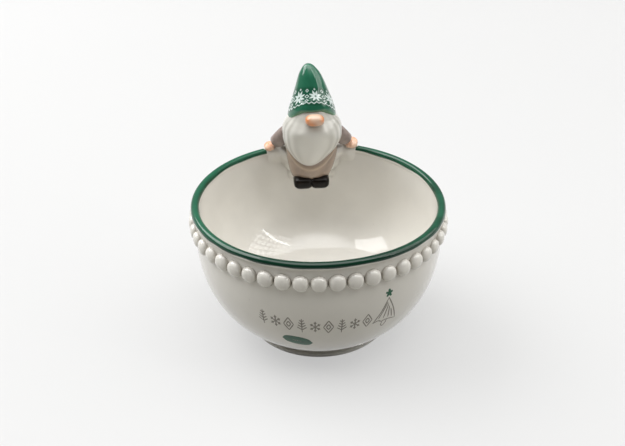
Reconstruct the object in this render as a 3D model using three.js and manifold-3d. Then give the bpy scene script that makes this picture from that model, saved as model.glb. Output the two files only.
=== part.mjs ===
// Glazed ceramic bowl with a tomte gnome luted to the inside of its rim.
// Millimetres, +Z up. The origin is the centre of the foot's resting face, and the gnome is at +Y,
// facing the bowl's middle. Each clay piece that the potter forms on its own is one mesh, and
// neighbours keep the thin line of slip that joins them as a gap.
import * as THREE from "three";
import { mergeVertices } from "three/addons/utils/BufferGeometryUtils.js";
import Module from "manifold-3d";

const wasm = await Module();
wasm.setup();

// Driving dimensions.
const SLIP = 0.3; // the joint line between two clay pieces
const RIM_HEIGHT = 81.5;
const RIM_OUTER = 70.6;
const WALL = 4.6;
const LIP_DEPTH = 3.2; // how far the painted lip reaches down from the rim
const BULGE_RADIUS = 69.3; // outside of the wall, where the bowl is widest
const BULGE_HEIGHT = 63.4;
const BASE_SINK = 67.8; // from the widest level down to where the outer curve would close
const BOWL_CURVE = 2.31; // exponent of the outer curve: 2 is an ellipse
const WELL_FLOOR = 8.6; // height of the lowest point inside
const WELL_CURVE = 2.6;
const FOOT_OUTER = 42;
const FOOT_INNER = 37;
const FOOT_HEIGHT = 4.4;
const BEADS = 48;
const BEAD_RADIUS = 4.4;
const BEAD_PROUD = 3.2;
const BEAD_LEVEL = 70;
const STRIP_THICK = 0.7;
const GNOME_Y = 56; // the gnome's upright centre line
const HAND_X = 25.4;
const SADDLE_LEDGE = 2.4; // how far the saddle's lip reaches inwards past the wall
const SADDLE_CROWN = 4; // its height above the underside of the green lip
const PAD = 1.5; // thickness of the clay between the gnome's back and the wall
const PAD_EDGE = 1.8; // how far that clay shows beside the body
const PAD_FRONT = 57;
const SADDLE_HALF_ANGLE = THREE.MathUtils.degToRad(24.5);
const FIGURE_SEGMENTS = 24;

// Materials of the glazes, from the object's colours.
const white = new THREE.MeshStandardMaterial({ color: 0xdad8cf, roughness: 0.12, metalness: 0 });
const green = new THREE.MeshStandardMaterial({ color: 0x2f6b4d, roughness: 0.12, metalness: 0 });
const taupe = new THREE.MeshStandardMaterial({ color: 0x857870, roughness: 0.3, metalness: 0 });
const beige = new THREE.MeshStandardMaterial({ color: 0x9a8b7e, roughness: 0.3, metalness: 0 });
const peach = new THREE.MeshStandardMaterial({ color: 0xe6ab8c, roughness: 0.2, metalness: 0 });
const black = new THREE.MeshStandardMaterial({ color: 0x14110e, roughness: 0.15, metalness: 0 });

const object = new THREE.Group();
object.name = "gnome_bowl";

// ---- Solids ----

// A closed geometry as a solid, whichever way its faces were wound.
function solid(geometry) {
  const bare = (geometry.index ? geometry.toNonIndexed() : geometry.clone());
  bare.deleteAttribute("normal");
  bare.deleteAttribute("uv");
  const merged = mergeVertices(bare, 1e-3);
  const corners = merged.index.array;
  const kept = [];
  for (let i = 0; i < corners.length; i += 3) {
    const [a, b, c] = [corners[i], corners[i + 1], corners[i + 2]];
    if (a !== b && b !== c && c !== a) kept.push(a, b, c);
  }
  const build = (triangles) =>
    new wasm.Manifold(
      new wasm.Mesh({
        numProp: 3,
        vertProperties: merged.attributes.position.array,
        triVerts: new Uint32Array(triangles),
      }),
    );
  const made = build(kept);
  return made.volume() > 0 ? made : build(kept.reverse());
}

// Adds a solid to the object as a named mesh.
function place(name, shape, material) {
  const made = shape.getMesh();
  const geometry = new THREE.BufferGeometry();
  geometry.setAttribute("position", new THREE.BufferAttribute(made.vertProperties, 3));
  geometry.setIndex(new THREE.BufferAttribute(made.triVerts, 1));
  geometry.computeVertexNormals();
  const mesh = new THREE.Mesh(geometry, material);
  mesh.name = name;
  object.add(mesh);
}

// A profile of [radius, height] pairs turned about the upright axis.
function turned(profile, segments) {
  const points = profile.map(([radius, height]) => new THREE.Vector2(radius, height));
  return new THREE.LatheGeometry(points, segments).rotateX(Math.PI / 2);
}

// Moves every vertex by a rule, in place.
function reshape(geometry, rule) {
  const position = geometry.attributes.position;
  const point = new THREE.Vector3();
  for (let i = 0; i < position.count; i++) {
    rule(point.fromBufferAttribute(position, i));
    position.setXYZ(i, point.x, point.y, point.z);
  }
  return geometry;
}

// A turned form with an oval section, standing on the gnome's centre line.
function turnedOval(profile, grow, depth, rule = () => {}) {
  const lowest = profile[0][1];
  const highest = profile[profile.length - 1][1];
  const grown = profile.map(([radius, height]) => [
    radius > 0 ? radius + grow : 0,
    height === lowest ? lowest - grow : height === highest ? highest + grow : height,
  ]);
  return solid(
    reshape(turned(grown, FIGURE_SEGMENTS), (p) => {
      p.y = GNOME_Y + p.y * depth;
      rule(p);
    }),
  );
}

// An ellipsoid with half-sizes x, y, z.
function ellipsoid(centre, half, grow, rows = 10) {
  const ball = new THREE.SphereGeometry(1, 16, rows).rotateX(Math.PI / 2);
  ball.scale(half[0] + grow, half[1] + grow, half[2] + grow);
  return solid(ball.translate(...centre));
}

function joined(shapes) {
  return shapes.reduce((all, shape) => all.add(shape));
}

function without(shape, cutters) {
  return cutters.reduce((rest, cutter) => rest.subtract(cutter), shape);
}

// ---- Bowl ----

// Radius of a bowl curve that is widest at BULGE_HEIGHT and closes sink below it.
function curveRadius(widest, sink, exponent, height) {
  const drop = Math.max(0, (BULGE_HEIGHT - height) / sink);
  return widest * Math.pow(Math.max(0, 1 - Math.pow(drop, exponent)), 1 / exponent);
}

const LIP_BOTTOM = RIM_HEIGHT - LIP_DEPTH;
const INNER_RADIUS = RIM_OUTER - WALL;
const WELL_DEPTH = BULGE_HEIGHT - WELL_FLOOR;

function bowlBody() {
  const profile = [[0, FOOT_HEIGHT]];
  const levels = 8;
  for (let i = 0; i <= levels; i++) {
    const height = FOOT_HEIGHT + ((BULGE_HEIGHT - FOOT_HEIGHT) * i) / levels;
    profile.push([curveRadius(BULGE_RADIUS, BASE_SINK, BOWL_CURVE, height), height]);
  }
  profile.push([BULGE_RADIUS, BEAD_LEVEL]);
  profile.push([BULGE_RADIUS, LIP_BOTTOM - SLIP]);
  profile.push([INNER_RADIUS, LIP_BOTTOM - SLIP]);
  for (let i = 0; i <= levels; i++) {
    const turn = (Math.PI / 2) * (i / levels);
    const height = BULGE_HEIGHT - WELL_DEPTH * Math.sin(turn);
    profile.push([curveRadius(INNER_RADIUS, WELL_DEPTH, WELL_CURVE, height), height]);
  }
  profile[profile.length - 1][0] = 0;
  return solid(turned(profile, 64));
}

function footRing() {
  const top = FOOT_HEIGHT - SLIP;
  const chamfer = 0.8;
  const profile = [
    [FOOT_INNER, top],
    [FOOT_INNER, 0],
    [FOOT_OUTER - chamfer, 0],
    [FOOT_OUTER, chamfer],
    [FOOT_OUTER - chamfer, top],
    [FOOT_INNER, top],
  ];
  return solid(turned(profile, 64));
}

// The whole rolled lip, before the green part and the white saddle share it.
function lipRing(inner, crown, grow) {
  const outer = RIM_OUTER + grow;
  const bottom = LIP_BOTTOM - grow;
  const middle = (outer + inner) / 2;
  const half = (outer - inner) / 2;
  const profile = [
    [inner, bottom],
    [outer, bottom],
  ];
  const steps = 5;
  for (let i = 1; i < steps; i++) {
    const turn = (Math.PI * i) / steps;
    profile.push([middle + half * Math.cos(turn), LIP_BOTTOM + crown * Math.sin(turn)]);
  }
  profile.push([inner, bottom]);
  return solid(turned(profile, 64));
}

// A wedge that opens from the axis towards +Y, taller than the lip.
function wedge(halfAngle) {
  const reach = 2 * RIM_OUTER;
  const outline = new THREE.Shape([
    new THREE.Vector2(0, 0),
    new THREE.Vector2(reach * Math.sin(halfAngle), reach * Math.cos(halfAngle)),
    new THREE.Vector2(-reach * Math.sin(halfAngle), reach * Math.cos(halfAngle)),
  ]);
  const block = new THREE.ExtrudeGeometry(outline, { depth: RIM_HEIGHT, bevelEnabled: false });
  return solid(block.translate(0, 0, RIM_HEIGHT / 2));
}

// The beaded strip: a thin hoop with half-round beads pressed in a row.
function beadBand() {
  const inside = BULGE_RADIUS + SLIP + 0.1;
  const outside = inside + STRIP_THICK;
  const low = BEAD_LEVEL - BEAD_RADIUS;
  const high = BEAD_LEVEL + BEAD_RADIUS;
  const hoop = [
    [inside, low],
    [outside, low],
    [outside, high],
    [inside, high],
    [inside, low],
  ];
  const dome = [
    [0, -STRIP_THICK / 2],
    [BEAD_RADIUS, -STRIP_THICK / 2],
    [BEAD_RADIUS * 0.75, BEAD_PROUD * 0.7],
    [0, BEAD_PROUD],
  ];
  const beads = [];
  for (let i = 0; i < BEADS; i++) {
    const bead = turned(dome, 8).rotateY(Math.PI / 2);
    bead.translate(outside - STRIP_THICK / 2, 0, BEAD_LEVEL);
    beads.push(solid(bead.rotateZ(((i + 0.5) * 2 * Math.PI) / BEADS)));
  }
  return joined([solid(turned(hoop, 2 * BEADS)), ...beads]);
}

// ---- Gnome ----

const TUNIC = [
  [0, 65.5],
  [11, 65.5],
  [12.4, 68],
  [14.2, 76],
  [16, 86],
  [15.4, 94],
  [12, 99],
  [0, 100],
];
const HEAD = [
  [0, 88],
  [11, 89],
  [15, 94],
  [15.6, 99],
  [14, 103.4],
  [11.6, 105.5],
  [9.6, 111],
  [5.5, 115.5],
  [0, 117],
];
const BEARD = [
  [0, 78],
  [3.4, 78.6],
  [7.4, 81],
  [12, 85],
  [15.6, 90],
  [17.6, 95],
  [17.9, 99],
  [16.6, 103],
  [14.2, 106.5],
  [0, 112],
];
const HAT = [
  [0, 104.6],
  [13.2, 104.6],
  [14.6, 106],
  [13.2, 111],
  [11.3, 117.6],
  [9.4, 124],
  [7.2, 130],
  [4.6, 133.9],
  [2.5, 136.4],
  [0, 137.4],
];
const HAT_TIP = HAT[HAT.length - 1][1];
const HAT_HEM = HAT[0][1];
const HEM_ARCH = 8.4; // how far the hem is pushed up above the nose
const HAT_CAVITY = [
  [0, 96],
  [12.2, 96],
  [12.2, 105.8],
  [10.2, 111.4],
  [6, 117],
  [0, 119.5],
];

// The hem rises over the nose and the tip leans a little to one side.
function hatRule(p) {
  const along = (p.z - HAT_HEM) / (HAT_TIP - HAT_HEM);
  const front = THREE.MathUtils.clamp((GNOME_Y - p.y) / HAT[1][0], 0, 1);
  p.z += HEM_ARCH * front * front * Math.max(0, 1 - along);
  p.x += 0.4 - 1.6 * along * along * along;
  p.y += 2 * along;
}

// The beard hangs forwards, so that its point rests on the tunic's front.
function beardRule(p) {
  const hang = THREE.MathUtils.clamp((BEARD[5][1] - p.z) / (BEARD[5][1] - BEARD[0][1]), 0, 1);
  p.y -= 11.5 * hang * hang;
}

const tunic = (grow) => turnedOval(TUNIC, grow, 0.84);
const head = (grow) => turnedOval(HEAD, grow, 0.95);
const beard = (grow) => turnedOval(BEARD, grow, 0.93, beardRule);
const hat = (grow) => turnedOval(HAT, grow, 0.96, hatRule);
const hatCavity = () => turnedOval(HAT_CAVITY, 0, 0.96);
const nose = (grow) => ellipsoid([1, 40.2, 109.2], [6, 4.2, 3.3], grow);
const boot = (side, grow) => ellipsoid([side * 5.3, 50.4, 64.6], [5.1, 7.4, 4.5], grow, 8);
const hand = (side, grow) => ellipsoid([side * HAND_X, 62.8, 83.2], [4.7, 4.6, 3.7], grow, 8);

// A sleeve is a tapered tube of clay from the shoulder down to its cuff.
function sleeve(side, grow) {
  const shoulder = new THREE.Vector3(side * 11.5, 57, 97);
  const cuff = new THREE.Vector3(side * 22, 60.8, 87.4);
  const length = shoulder.distanceTo(cuff);
  const tube = turned(
    [
      [0, -4 - grow],
      [4.2 + grow, -3],
      [5.2 + grow, 0],
      [4.9 + grow, length],
      [3.9 + grow, length + 1 + grow],
      [0, length + 1 + grow],
    ],
    14,
  );
  const aim = new THREE.Quaternion().setFromUnitVectors(
    new THREE.Vector3(0, 0, 1),
    cuff.clone().sub(shoulder).normalize(),
  );
  return solid(tube.applyQuaternion(aim).translate(shoulder.x, shoulder.y, shoulder.z));
}

const SIDES = { left: -1, right: 1 }; // as the viewer sees the gnome's face

// ---- Assembly: each piece is cut to fit those placed before it ----

const bowl = bowlBody();
// The room that the wall and lip need, with the slip line round them.
const wallRoom = solid(
  turned(
    [
      [INNER_RADIUS - SLIP, 30],
      [RIM_OUTER + SLIP + 8, 30],
      [RIM_OUTER + SLIP + 8, LIP_BOTTOM + SLIP],
      [INNER_RADIUS - SLIP, LIP_BOTTOM + SLIP],
      [INNER_RADIUS - SLIP, 30],
    ],
    64,
  ),
);

const handRoom = Object.values(SIDES).map((side) => hand(side, SLIP));

// The saddle's lip is the raised white part of the rim that lies between the hands.
const saddleLip = (grow) => lipRing(INNER_RADIUS - SADDLE_LEDGE - grow, SADDLE_CROWN + grow, grow);

// The gnome's body, cut back where it sits against the wall and over the lip.
function seatedTunic(grow) {
  const seat = turned(
    [
      [INNER_RADIUS - PAD + grow, 55],
      [RIM_OUTER + 9, 55],
      [RIM_OUTER + 9, LIP_BOTTOM],
      [INNER_RADIUS - PAD + grow, LIP_BOTTOM],
      [INNER_RADIUS - PAD + grow, 55],
    ],
    64,
  );
  return without(tunic(grow), [solid(seat), saddleLip(SLIP - grow)]);
}

// A pad of white clay behind the body, shown as a narrow edge down both its sides.
function pad(grow) {
  const [low, high] = [55, LIP_BOTTOM + 1];
  const block = new THREE.BoxGeometry(60, 20, high - low);
  block.translate(0, PAD_FRONT - grow + 10, (low + high) / 2);
  return tunic(PAD_EDGE + grow).intersect(solid(block)).subtract(wallRoom);
}

const saddle = without(
  saddleLip(0).intersect(wedge(SADDLE_HALF_ANGLE)).add(pad(0).subtract(seatedTunic(SLIP))),
  handRoom,
);
const lip = without(lipRing(INNER_RADIUS, LIP_DEPTH, 0), [
  wedge(SADDLE_HALF_ANGLE + SLIP / RIM_OUTER),
  ...handRoom,
]);

place("bowl_body", bowl, white);
place("foot_ring", footRing(), white);
place("rim_band", lip, green);
place("bead_band", beadBand(), white);
place("saddle", saddle, white);
place("tunic", seatedTunic(0), beige);
for (const [name, side] of Object.entries(SIDES)) {
  place(name + "_boot", without(boot(side, 0), [tunic(SLIP), pad(SLIP)]), black);
  place(name + "_hand", without(hand(side, 0), [wallRoom]), peach);
  place(
    name + "_sleeve",
    without(sleeve(side, 0), [tunic(SLIP), hand(side, SLIP), saddleLip(SLIP), beard(SLIP), head(SLIP)]),
    taupe,
  );
}
place("head", without(head(0), [tunic(SLIP)]), white);
place("hat", without(hat(0), [hatCavity(), head(SLIP)]), green);
place("nose", without(nose(0), [hat(1.5 * SLIP), head(SLIP)]), peach);
const frontHalf = solid(
  new THREE.BoxGeometry(60, 40, 60).translate(0, GNOME_Y + 2.5 - 20, 95),
);
place(
  "beard",
  without(beard(0).intersect(frontHalf), [head(SLIP), tunic(SLIP), hat(SLIP), nose(SLIP)]),
  white,
);

export default object;
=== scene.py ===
"""Glazed bowl with a gnome on its rim: the visual model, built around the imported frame.

Run as a script. Sizes below are in millimetres unless a name says otherwise, and meshes are
made in metres in the frame's own axes: +Z up, the gnome at +Y and facing -Y.
"""
import math

import bmesh
import bpy
import numpy as np
from mathutils import Matrix, Vector
from mathutils.bvhtree import BVHTree


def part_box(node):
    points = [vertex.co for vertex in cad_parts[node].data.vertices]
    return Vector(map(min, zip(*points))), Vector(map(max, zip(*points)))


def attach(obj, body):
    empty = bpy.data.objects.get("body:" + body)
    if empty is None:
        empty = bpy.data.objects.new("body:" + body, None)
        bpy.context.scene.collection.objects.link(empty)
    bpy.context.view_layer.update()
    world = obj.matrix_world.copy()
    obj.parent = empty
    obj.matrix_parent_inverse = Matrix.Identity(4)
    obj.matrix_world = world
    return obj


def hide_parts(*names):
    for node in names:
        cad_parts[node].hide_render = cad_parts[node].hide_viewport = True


bl_info = {
    "name": "Gnome bowl",
    "version": (1, 0, 0),
    "blender": (4, 5, 0),
    "location": "View3D > Sidebar > Gnome bowl",
    "description": "Builds the glazed bowl, its gnome and the stage",
    "category": "Object",
}

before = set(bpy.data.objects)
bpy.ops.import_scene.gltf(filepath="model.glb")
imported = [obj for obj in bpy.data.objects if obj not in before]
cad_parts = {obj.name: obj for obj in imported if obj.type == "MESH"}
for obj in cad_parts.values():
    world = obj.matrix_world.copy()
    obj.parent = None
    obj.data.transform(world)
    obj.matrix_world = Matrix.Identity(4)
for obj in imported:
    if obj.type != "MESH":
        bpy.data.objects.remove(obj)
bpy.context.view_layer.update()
MM = 0.001


def node_box(name):
    """A CAD node's lowest and highest corners, in millimetres."""
    low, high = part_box(name)
    return np.array(low) / MM, np.array(high) / MM


RIM_BOX = node_box("rim_band")
WALL_BOX = node_box("bowl_body")
FOOT_BOX = node_box("foot_ring")
BEAD_BOX = node_box("bead_band")
HAT_BOX = node_box("hat")

RIM_RADIUS = float(RIM_BOX[1][0])
RIM_TOP = float(RIM_BOX[1][2])
LIP_BOTTOM = float(RIM_BOX[0][2])
BULGE_RADIUS = float(WALL_BOX[1][0])
FOOT_HEIGHT = float(WALL_BOX[0][2])
BEAD_LEVEL = float(BEAD_BOX[0][2] + BEAD_BOX[1][2]) / 2
HAT_TIP = float(HAT_BOX[1][2])
WALL = 4.6  # the wall's thickness at the lip
HAND_X = 25.4  # from the mirror plane to the middle of a hand
GNOME_Y = 56.0  # the gnome's upright centre line
SADDLE_ANGLE = 24.5  # degrees from the gnome's centre line to the green lip's end

# ---- Colours ----


def linear(hex_colour):
    """An sRGB hex colour as linear red, green, blue and alpha."""
    channels = [int(hex_colour[i : i + 2], 16) / 255 for i in (1, 3, 5)]
    return [c / 12.92 if c <= 0.04045 else ((c + 0.055) / 1.055) ** 2.4 for c in channels] + [1.0]


# ---- Sizes and colours that a user would change ----


def length(name, default, about):
    """A size in metres, shown in the scene's own unit."""
    return bpy.props.FloatProperty(
        name=name, default=default * MM, description=about, unit="LENGTH", precision=4
    )


def colour(name, hex_colour, about):
    """A glaze colour, stored linear."""
    return bpy.props.FloatVectorProperty(
        name=name,
        default=linear(hex_colour)[:3],
        description=about,
        subtype="COLOR",
        size=3,
        min=0.0,
        max=1.0,
    )


def brightness(name, default, about):
    """A strength of light, 0 or more."""
    return bpy.props.FloatProperty(name=name, default=default, min=0.0, description=about)


class GNOMEBOWL_PG_sizes(bpy.types.PropertyGroup):
    """Sizes of the bowl and of the gnome's details."""

    rim_radius: length("Rim radius", RIM_RADIUS, "Outer radius of the rolled lip")
    wall: length("Wall", WALL, "Thickness of the wall at the lip")
    bead_radius: length("Bead radius", 4.1, "Half a bead's width along the band")
    bead_count: bpy.props.IntProperty(
        name="Beads", default=48, min=8, max=96, description="Number of beads round the bowl"
    )
    unevenness: length("Unevenness", 0.16, "How far the hand-finished wall wanders")
    knit_width: length("Knit line", 0.5, "Width of a stitch line in the hat's pattern")
    print_width: length("Print line", 0.62, "Width of a stroke in the printed motifs")


class GNOMEBOWL_PG_colours(bpy.types.PropertyGroup):
    """Colours under the clear glaze."""

    white: colour("White body", "#DAD7D0", "White clay under clear glaze")
    rim_green: colour("Rim green", "#164C36", "Brushed green on the lip")
    hat_green: colour("Hat green", "#28694F", "Green of the hat")
    beard: colour("Beard", "#D5D3CC", "White of the beard")
    tunic: colour("Tunic", "#918073", "Beige brown of the tunic")
    sleeve: colour("Sleeves", "#84756E", "Grey brown of the sleeves")
    skin: colour("Skin", "#F6D2B9", "Peach of the nose and hands")
    boot: colour("Boots", "#0C0805", "Black of the boots")
    ink: colour("Print grey", "#716B62", "Warm grey of the printed motifs")


class GNOMEBOWL_PG_stage(bpy.types.PropertyGroup):
    """Light and floor."""

    floor: colour("Floor", "#E7E7E6", "Pale floor")
    bounce: bpy.props.FloatProperty(
        name="Bounce",
        default=0.36,
        min=0.0,
        max=1.0,
        subtype="FACTOR",
        description="How much light the hidden sheet sends up to the underside of the bowl",
    )
    floor_tone: brightness("Floor tone", 0.27, "How much the seen floor shows shadows")
    floor_glow: brightness("Floor glow", 0.49, "Light that comes through the floor")
    sky: brightness("Sky", 1.0, "Strength of the surrounding light")
    window: brightness("Window", 4.3, "Radiance of the window's panes")
    softbox: brightness("Softbox", 5.7, "Radiance of the softbox on the left")


# ---- Mesh helpers ----


def mesh_piece(name, points, faces, material, smooth=True):
    """A mesh object at the origin, from points in millimetres."""
    mesh = bpy.data.meshes.new(name)
    mesh.from_pydata((np.asarray(points, float) * MM).tolist(), [], faces)
    mesh.update()
    if smooth:
        mesh.polygons.foreach_set("use_smooth", [True] * len(mesh.polygons))
    mesh.materials.append(material)
    piece = bpy.data.objects.new(name, mesh)
    bpy.context.scene.collection.objects.link(piece)
    return piece


def finish(piece, slot, *nodes):
    """Rides the piece on the one body and hides the CAD nodes it stands for. The slot is not used.
    """
    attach(piece, "root")
    if nodes:
        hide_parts(*nodes)


def paint(piece, name, values):
    """Stores one number for each vertex, for a material to read."""
    layer = piece.data.attributes.new(name, "FLOAT", "POINT")
    layer.data.foreach_set("value", np.asarray(values, np.float32).ravel())


def outward(piece):
    """Turns every face of a closed mesh outwards."""
    work = bmesh.new()
    work.from_mesh(piece.data)
    bmesh.ops.recalc_face_normals(work, faces=work.faces)
    work.to_mesh(piece.data)
    work.free()
    piece.data.update()


def clay(name, shape, glaze_name, slot, *nodes, smooth=True, **layers):
    """A hand-formed piece from its points and faces: turned outwards, painted and put in place."""
    piece = mesh_piece(name, *shape, glaze_of(glaze_name), smooth)
    outward(piece)
    for layer, values in layers.items():
        paint(piece, layer, values)
    finish(piece, slot, *nodes)


def turned(outline, angle):
    """An outline of (radius, height), stood at an angle round the bowl's axis."""
    return np.column_stack(
        [outline[:, 0] * math.cos(angle), outline[:, 0] * math.sin(angle), outline[:, 1]]
    )


def closed_loft(rings, first=None, last=None):
    """Points and faces of a closed tube of rings, with a pole at each end.

    rings is rows by columns by 3, each ring running anticlockwise as seen from the last ring.
    """
    rings = np.asarray(rings, float)
    rows, cols = rings.shape[:2]
    first = rings[0].mean(axis=0) if first is None else np.asarray(first, float)
    last = rings[-1].mean(axis=0) if last is None else np.asarray(last, float)
    points = np.vstack([rings.reshape(-1, 3), first, last])
    start, end = rows * cols, rows * cols + 1
    faces = []
    for row in range(rows - 1):
        low, high = row * cols, (row + 1) * cols
        for col in range(cols):
            after = (col + 1) % cols
            faces.append((low + col, low + after, high + after, high + col))
    for col in range(cols):
        after = (col + 1) % cols
        top = (rows - 1) * cols
        faces.append((start, after, col))
        faces.append((end, top + col, top + after))
    return points, faces


def capped_sweep(rings):
    """Points and faces of a swept closed outline, with a flat cap at each end."""
    rings = np.asarray(rings, float)
    rows, cols = rings.shape[:2]
    faces = []
    for row in range(rows - 1):
        low, high = row * cols, (row + 1) * cols
        for col in range(cols):
            after = (col + 1) % cols
            faces.append((low + col, low + after, high + after, high + col))
    faces.append(tuple(reversed(range(cols))))
    faces.append(tuple(range((rows - 1) * cols, rows * cols)))
    return rings.reshape(-1, 3), faces


def smooth_line(points, count):
    """A Catmull-Rom curve through points, sampled evenly by its parameter."""
    points = np.asarray(points, float)
    padded = np.vstack([2 * points[0] - points[1], points, 2 * points[-1] - points[-2]])
    at = np.linspace(0, len(points) - 1, count)
    part = np.minimum(at.astype(int), len(points) - 2)
    t = (at - part)[:, None]
    p0, p1, p2, p3 = (padded[part + k] for k in range(4))
    return 0.5 * (
        2 * p1
        + (p2 - p0) * t
        + (2 * p0 - 5 * p1 + 4 * p2 - p3) * t**2
        + (3 * p1 - 3 * p2 + p3 - p0) * t**3
    )


def smoothstep(low, high, value):
    """0 at low and 1 at high, with a soft start and end."""
    t = np.clip((np.asarray(value, float) - low) / (high - low), 0, 1)
    return t * t * (3 - 2 * t)


def waves(x, seed, size, terms=5):
    """A smooth wandering line: a few sines of about the given wavelength."""
    rng = np.random.default_rng(seed)
    total = np.zeros_like(np.asarray(x, float))
    for _ in range(terms):
        span = size * rng.uniform(0.6, 1.8)
        total += np.sin(2 * np.pi * np.asarray(x, float) / span + rng.uniform(0, 2 * np.pi))
    return total / terms


# ---- Node helper ----


def add(tree, kind, inputs=None, **settings):
    """Adds a node, sets it up, and links or fills the inputs given by name or number."""
    made = tree.nodes.new(kind)
    for key, value in settings.items():
        setattr(made, key, value)
    for key, value in (inputs or {}).items():
        if isinstance(value, bpy.types.NodeSocket):
            tree.links.new(value, made.inputs[key])
        else:
            made.inputs[key].default_value = value
    return made


# ---- Glazes ----

SPECK_SPACING = 9.0  # mm between iron specks
FOLD_HIGHLIGHT = linear("#BBA791")  # painted highlight along the tunic's fold


def glaze(name, rough=0.32, bump=0.02, bump_mm=7.0):
    """A material of underglaze colour below a clear glossy glaze.

    The colour layer scatters softly, and the coat is the fired glass over it. The glass lies in
    slow waves a few millimetres long, which bend its reflections a little.
    """
    material = bpy.data.materials.new(name)
    material.use_nodes = True
    tree = material.node_tree
    shader = tree.nodes["Principled BSDF"]
    for key, value in (
        ("Roughness", rough),
        ("IOR", 1.5),
        ("Specular IOR Level", 0.1),
        ("Coat Weight", 1.0),
        ("Coat Roughness", 0.035),
        ("Coat IOR", 1.52),
    ):
        shader.inputs[key].default_value = value
    place = add(tree, "ShaderNodeTexCoord").outputs["Object"]
    waved = {"Vector": place, "Scale": 1000 / bump_mm, "Detail": 1.5, "Roughness": 0.4}
    ripple = add(tree, "ShaderNodeTexNoise", waved).outputs["Fac"]
    slight = {"Height": ripple, "Strength": 1.0, "Distance": bump * MM}
    uneven = add(tree, "ShaderNodeBump", slight)
    tree.links.new(uneven.outputs["Normal"], shader.inputs["Normal"])
    tree.links.new(uneven.outputs["Normal"], shader.inputs["Coat Normal"])
    return material, tree, shader, place


def patches(tree, place, size_mm, low, high, detail=3.0):
    """Soft patches of about size_mm, from 0 below low to 1 above high."""
    cloudy = {"Vector": place, "Scale": 1000 / size_mm, "Detail": detail}
    cloud = add(tree, "ShaderNodeTexNoise", cloudy).outputs["Fac"]
    step = {"Value": cloud, "From Min": low, "From Max": high}
    ramp = add(tree, "ShaderNodeMapRange", step, interpolation_type="SMOOTHSTEP")
    return ramp.outputs["Result"]


def pooling_with_crease_shade(tree, reach_mm, power=1.0):
    """1 in creases and 0 on open surfaces, read from ambient occlusion: partly where glaze pools
    before it sets, partly painted crease shade.
    """
    shade = add(tree, "ShaderNodeAmbientOcclusion", {"Distance": reach_mm * MM}, samples=8)
    closed = add(tree, "ShaderNodeMath", {0: 1.0, 1: shade.outputs["AO"]}, operation="SUBTRACT")
    bent = {0: closed.outputs[0], 1: power}
    return add(tree, "ShaderNodeMath", bent, operation="POWER", use_clamp=True).outputs[0]


def shade_of(rgb, factor):
    """A colour made lighter or darker."""
    return [min(1.0, c * factor) for c in list(rgb)[:3]] + [1.0]


def rgba(rgb):
    """A colour with its alpha."""
    return list(rgb)[:3] + [1.0]


def white_glaze(colours):
    """Clear glaze over white stoneware: cool where it's thin, warmer grey in creases, partly where
    it pools and partly as painted crease shade.
    """
    material, tree, shader, place = glaze("clear glaze on white clay")
    # Iron specks, about 0.25 mm across and well apart.
    spread = {"Vector": place, "Scale": 1000 / SPECK_SPACING, "Randomness": 1.0}
    specks = add(tree, "ShaderNodeTexVoronoi", spread)
    near = {"Value": specks.outputs["Distance"], "From Min": 0.035, "From Max": 0.02}
    dot = add(tree, "ShaderNodeMapRange", near)
    faint = add(tree, "ShaderNodeMath", {0: dot.outputs["Result"], 1: 0.35}, operation="MULTIPLY")
    tone = rgba(colours.white)
    for share, over in (
        (patches(tree, place, 26, 0.35, 0.65), shade_of(colours.white, 0.955)),
        (faint.outputs[0], linear("#8C8376")),
        # Warm grey in creases: glaze pooling together with painted crease shade.
        (pooling_with_crease_shade(tree, 3.0, 1.4), linear("#A79F92")),
    ):
        blend = {0: share, 6: tone, 7: over}
        tone = add(tree, "ShaderNodeMix", blend, data_type="RGBA").outputs[2]
    tree.links.new(tone, shader.inputs["Base Color"])
    return material


def rim_glaze(colours):
    """Brushed green under clear glaze, darkened to nearly black at the front as painted shade, and
    pale on the crown, partly thin glaze and partly painted highlight.
    """
    material, tree, shader, place = glaze("clear glaze on brushed green", rough=0.3)
    shader.inputs["Coat Weight"].default_value = 0.6
    green = colours.rim_green
    layers = [(patches(tree, place, 9, 0.3, 0.7, 5.0), rgba(green))]
    spot = add(tree, "ShaderNodeSeparateXYZ", {0: place})
    # The crown is paler, partly where the glaze breaks thin over it and partly as painted highlight
    # on the top. The front is painted darker, nearly black: painted shade where it faces the dim
    # side of the room.
    for axis, start, stop, most, factor in (
        ("Z", (RIM_TOP - 1.2) * MM, (RIM_TOP + 0.3) * MM, 0.35, 1.9),
        ("Y", -0.030, -0.066, 0.85, 0.22),
    ):
        step = {"Value": spot.outputs[axis], "From Min": start, "From Max": stop, "To Max": most}
        ramp = add(tree, "ShaderNodeMapRange", step, interpolation_type="SMOOTHSTEP")
        layers.append((ramp.outputs["Result"], shade_of(green, factor)))
    tone = shade_of(green, 0.6)
    for share, over in layers:
        blend = {0: share, 6: tone, 7: over}
        tone = add(tree, "ShaderNodeMix", blend, data_type="RGBA").outputs[2]
    brushed = add(tree, "ShaderNodeAttribute", attribute_name="brushed").outputs["Fac"]
    edge = {0: brushed, 6: rgba(colours.white), 7: tone}
    tone = add(tree, "ShaderNodeMix", edge, data_type="RGBA").outputs[2]
    tree.links.new(tone, shader.inputs["Base Color"])
    return material


def hat_glaze(colours):
    """Green under clear glaze, darker behind the white stitched pattern, thin at the hem."""
    material, tree, shader, place = glaze("clear glaze on hat green", bump=0.012)
    green = colours.hat_green
    layers = [(patches(tree, place, 5, 0.3, 0.7, 4.0), rgba(green))]
    for name, over in (
        ("band", shade_of(green, 0.5)),
        ("hem", linear("#6E9A74")),
        ("knit", linear("#DDE9E6")),
    ):
        painted = add(tree, "ShaderNodeAttribute", attribute_name=name)
        layers.append((painted.outputs["Fac"], over))
    tone = shade_of(green, 0.86)
    for share, over in layers:
        blend = {0: share, 6: tone, 7: over}
        tone = add(tree, "ShaderNodeMix", blend, data_type="RGBA").outputs[2]
    tree.links.new(tone, shader.inputs["Base Color"])
    return material


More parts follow.
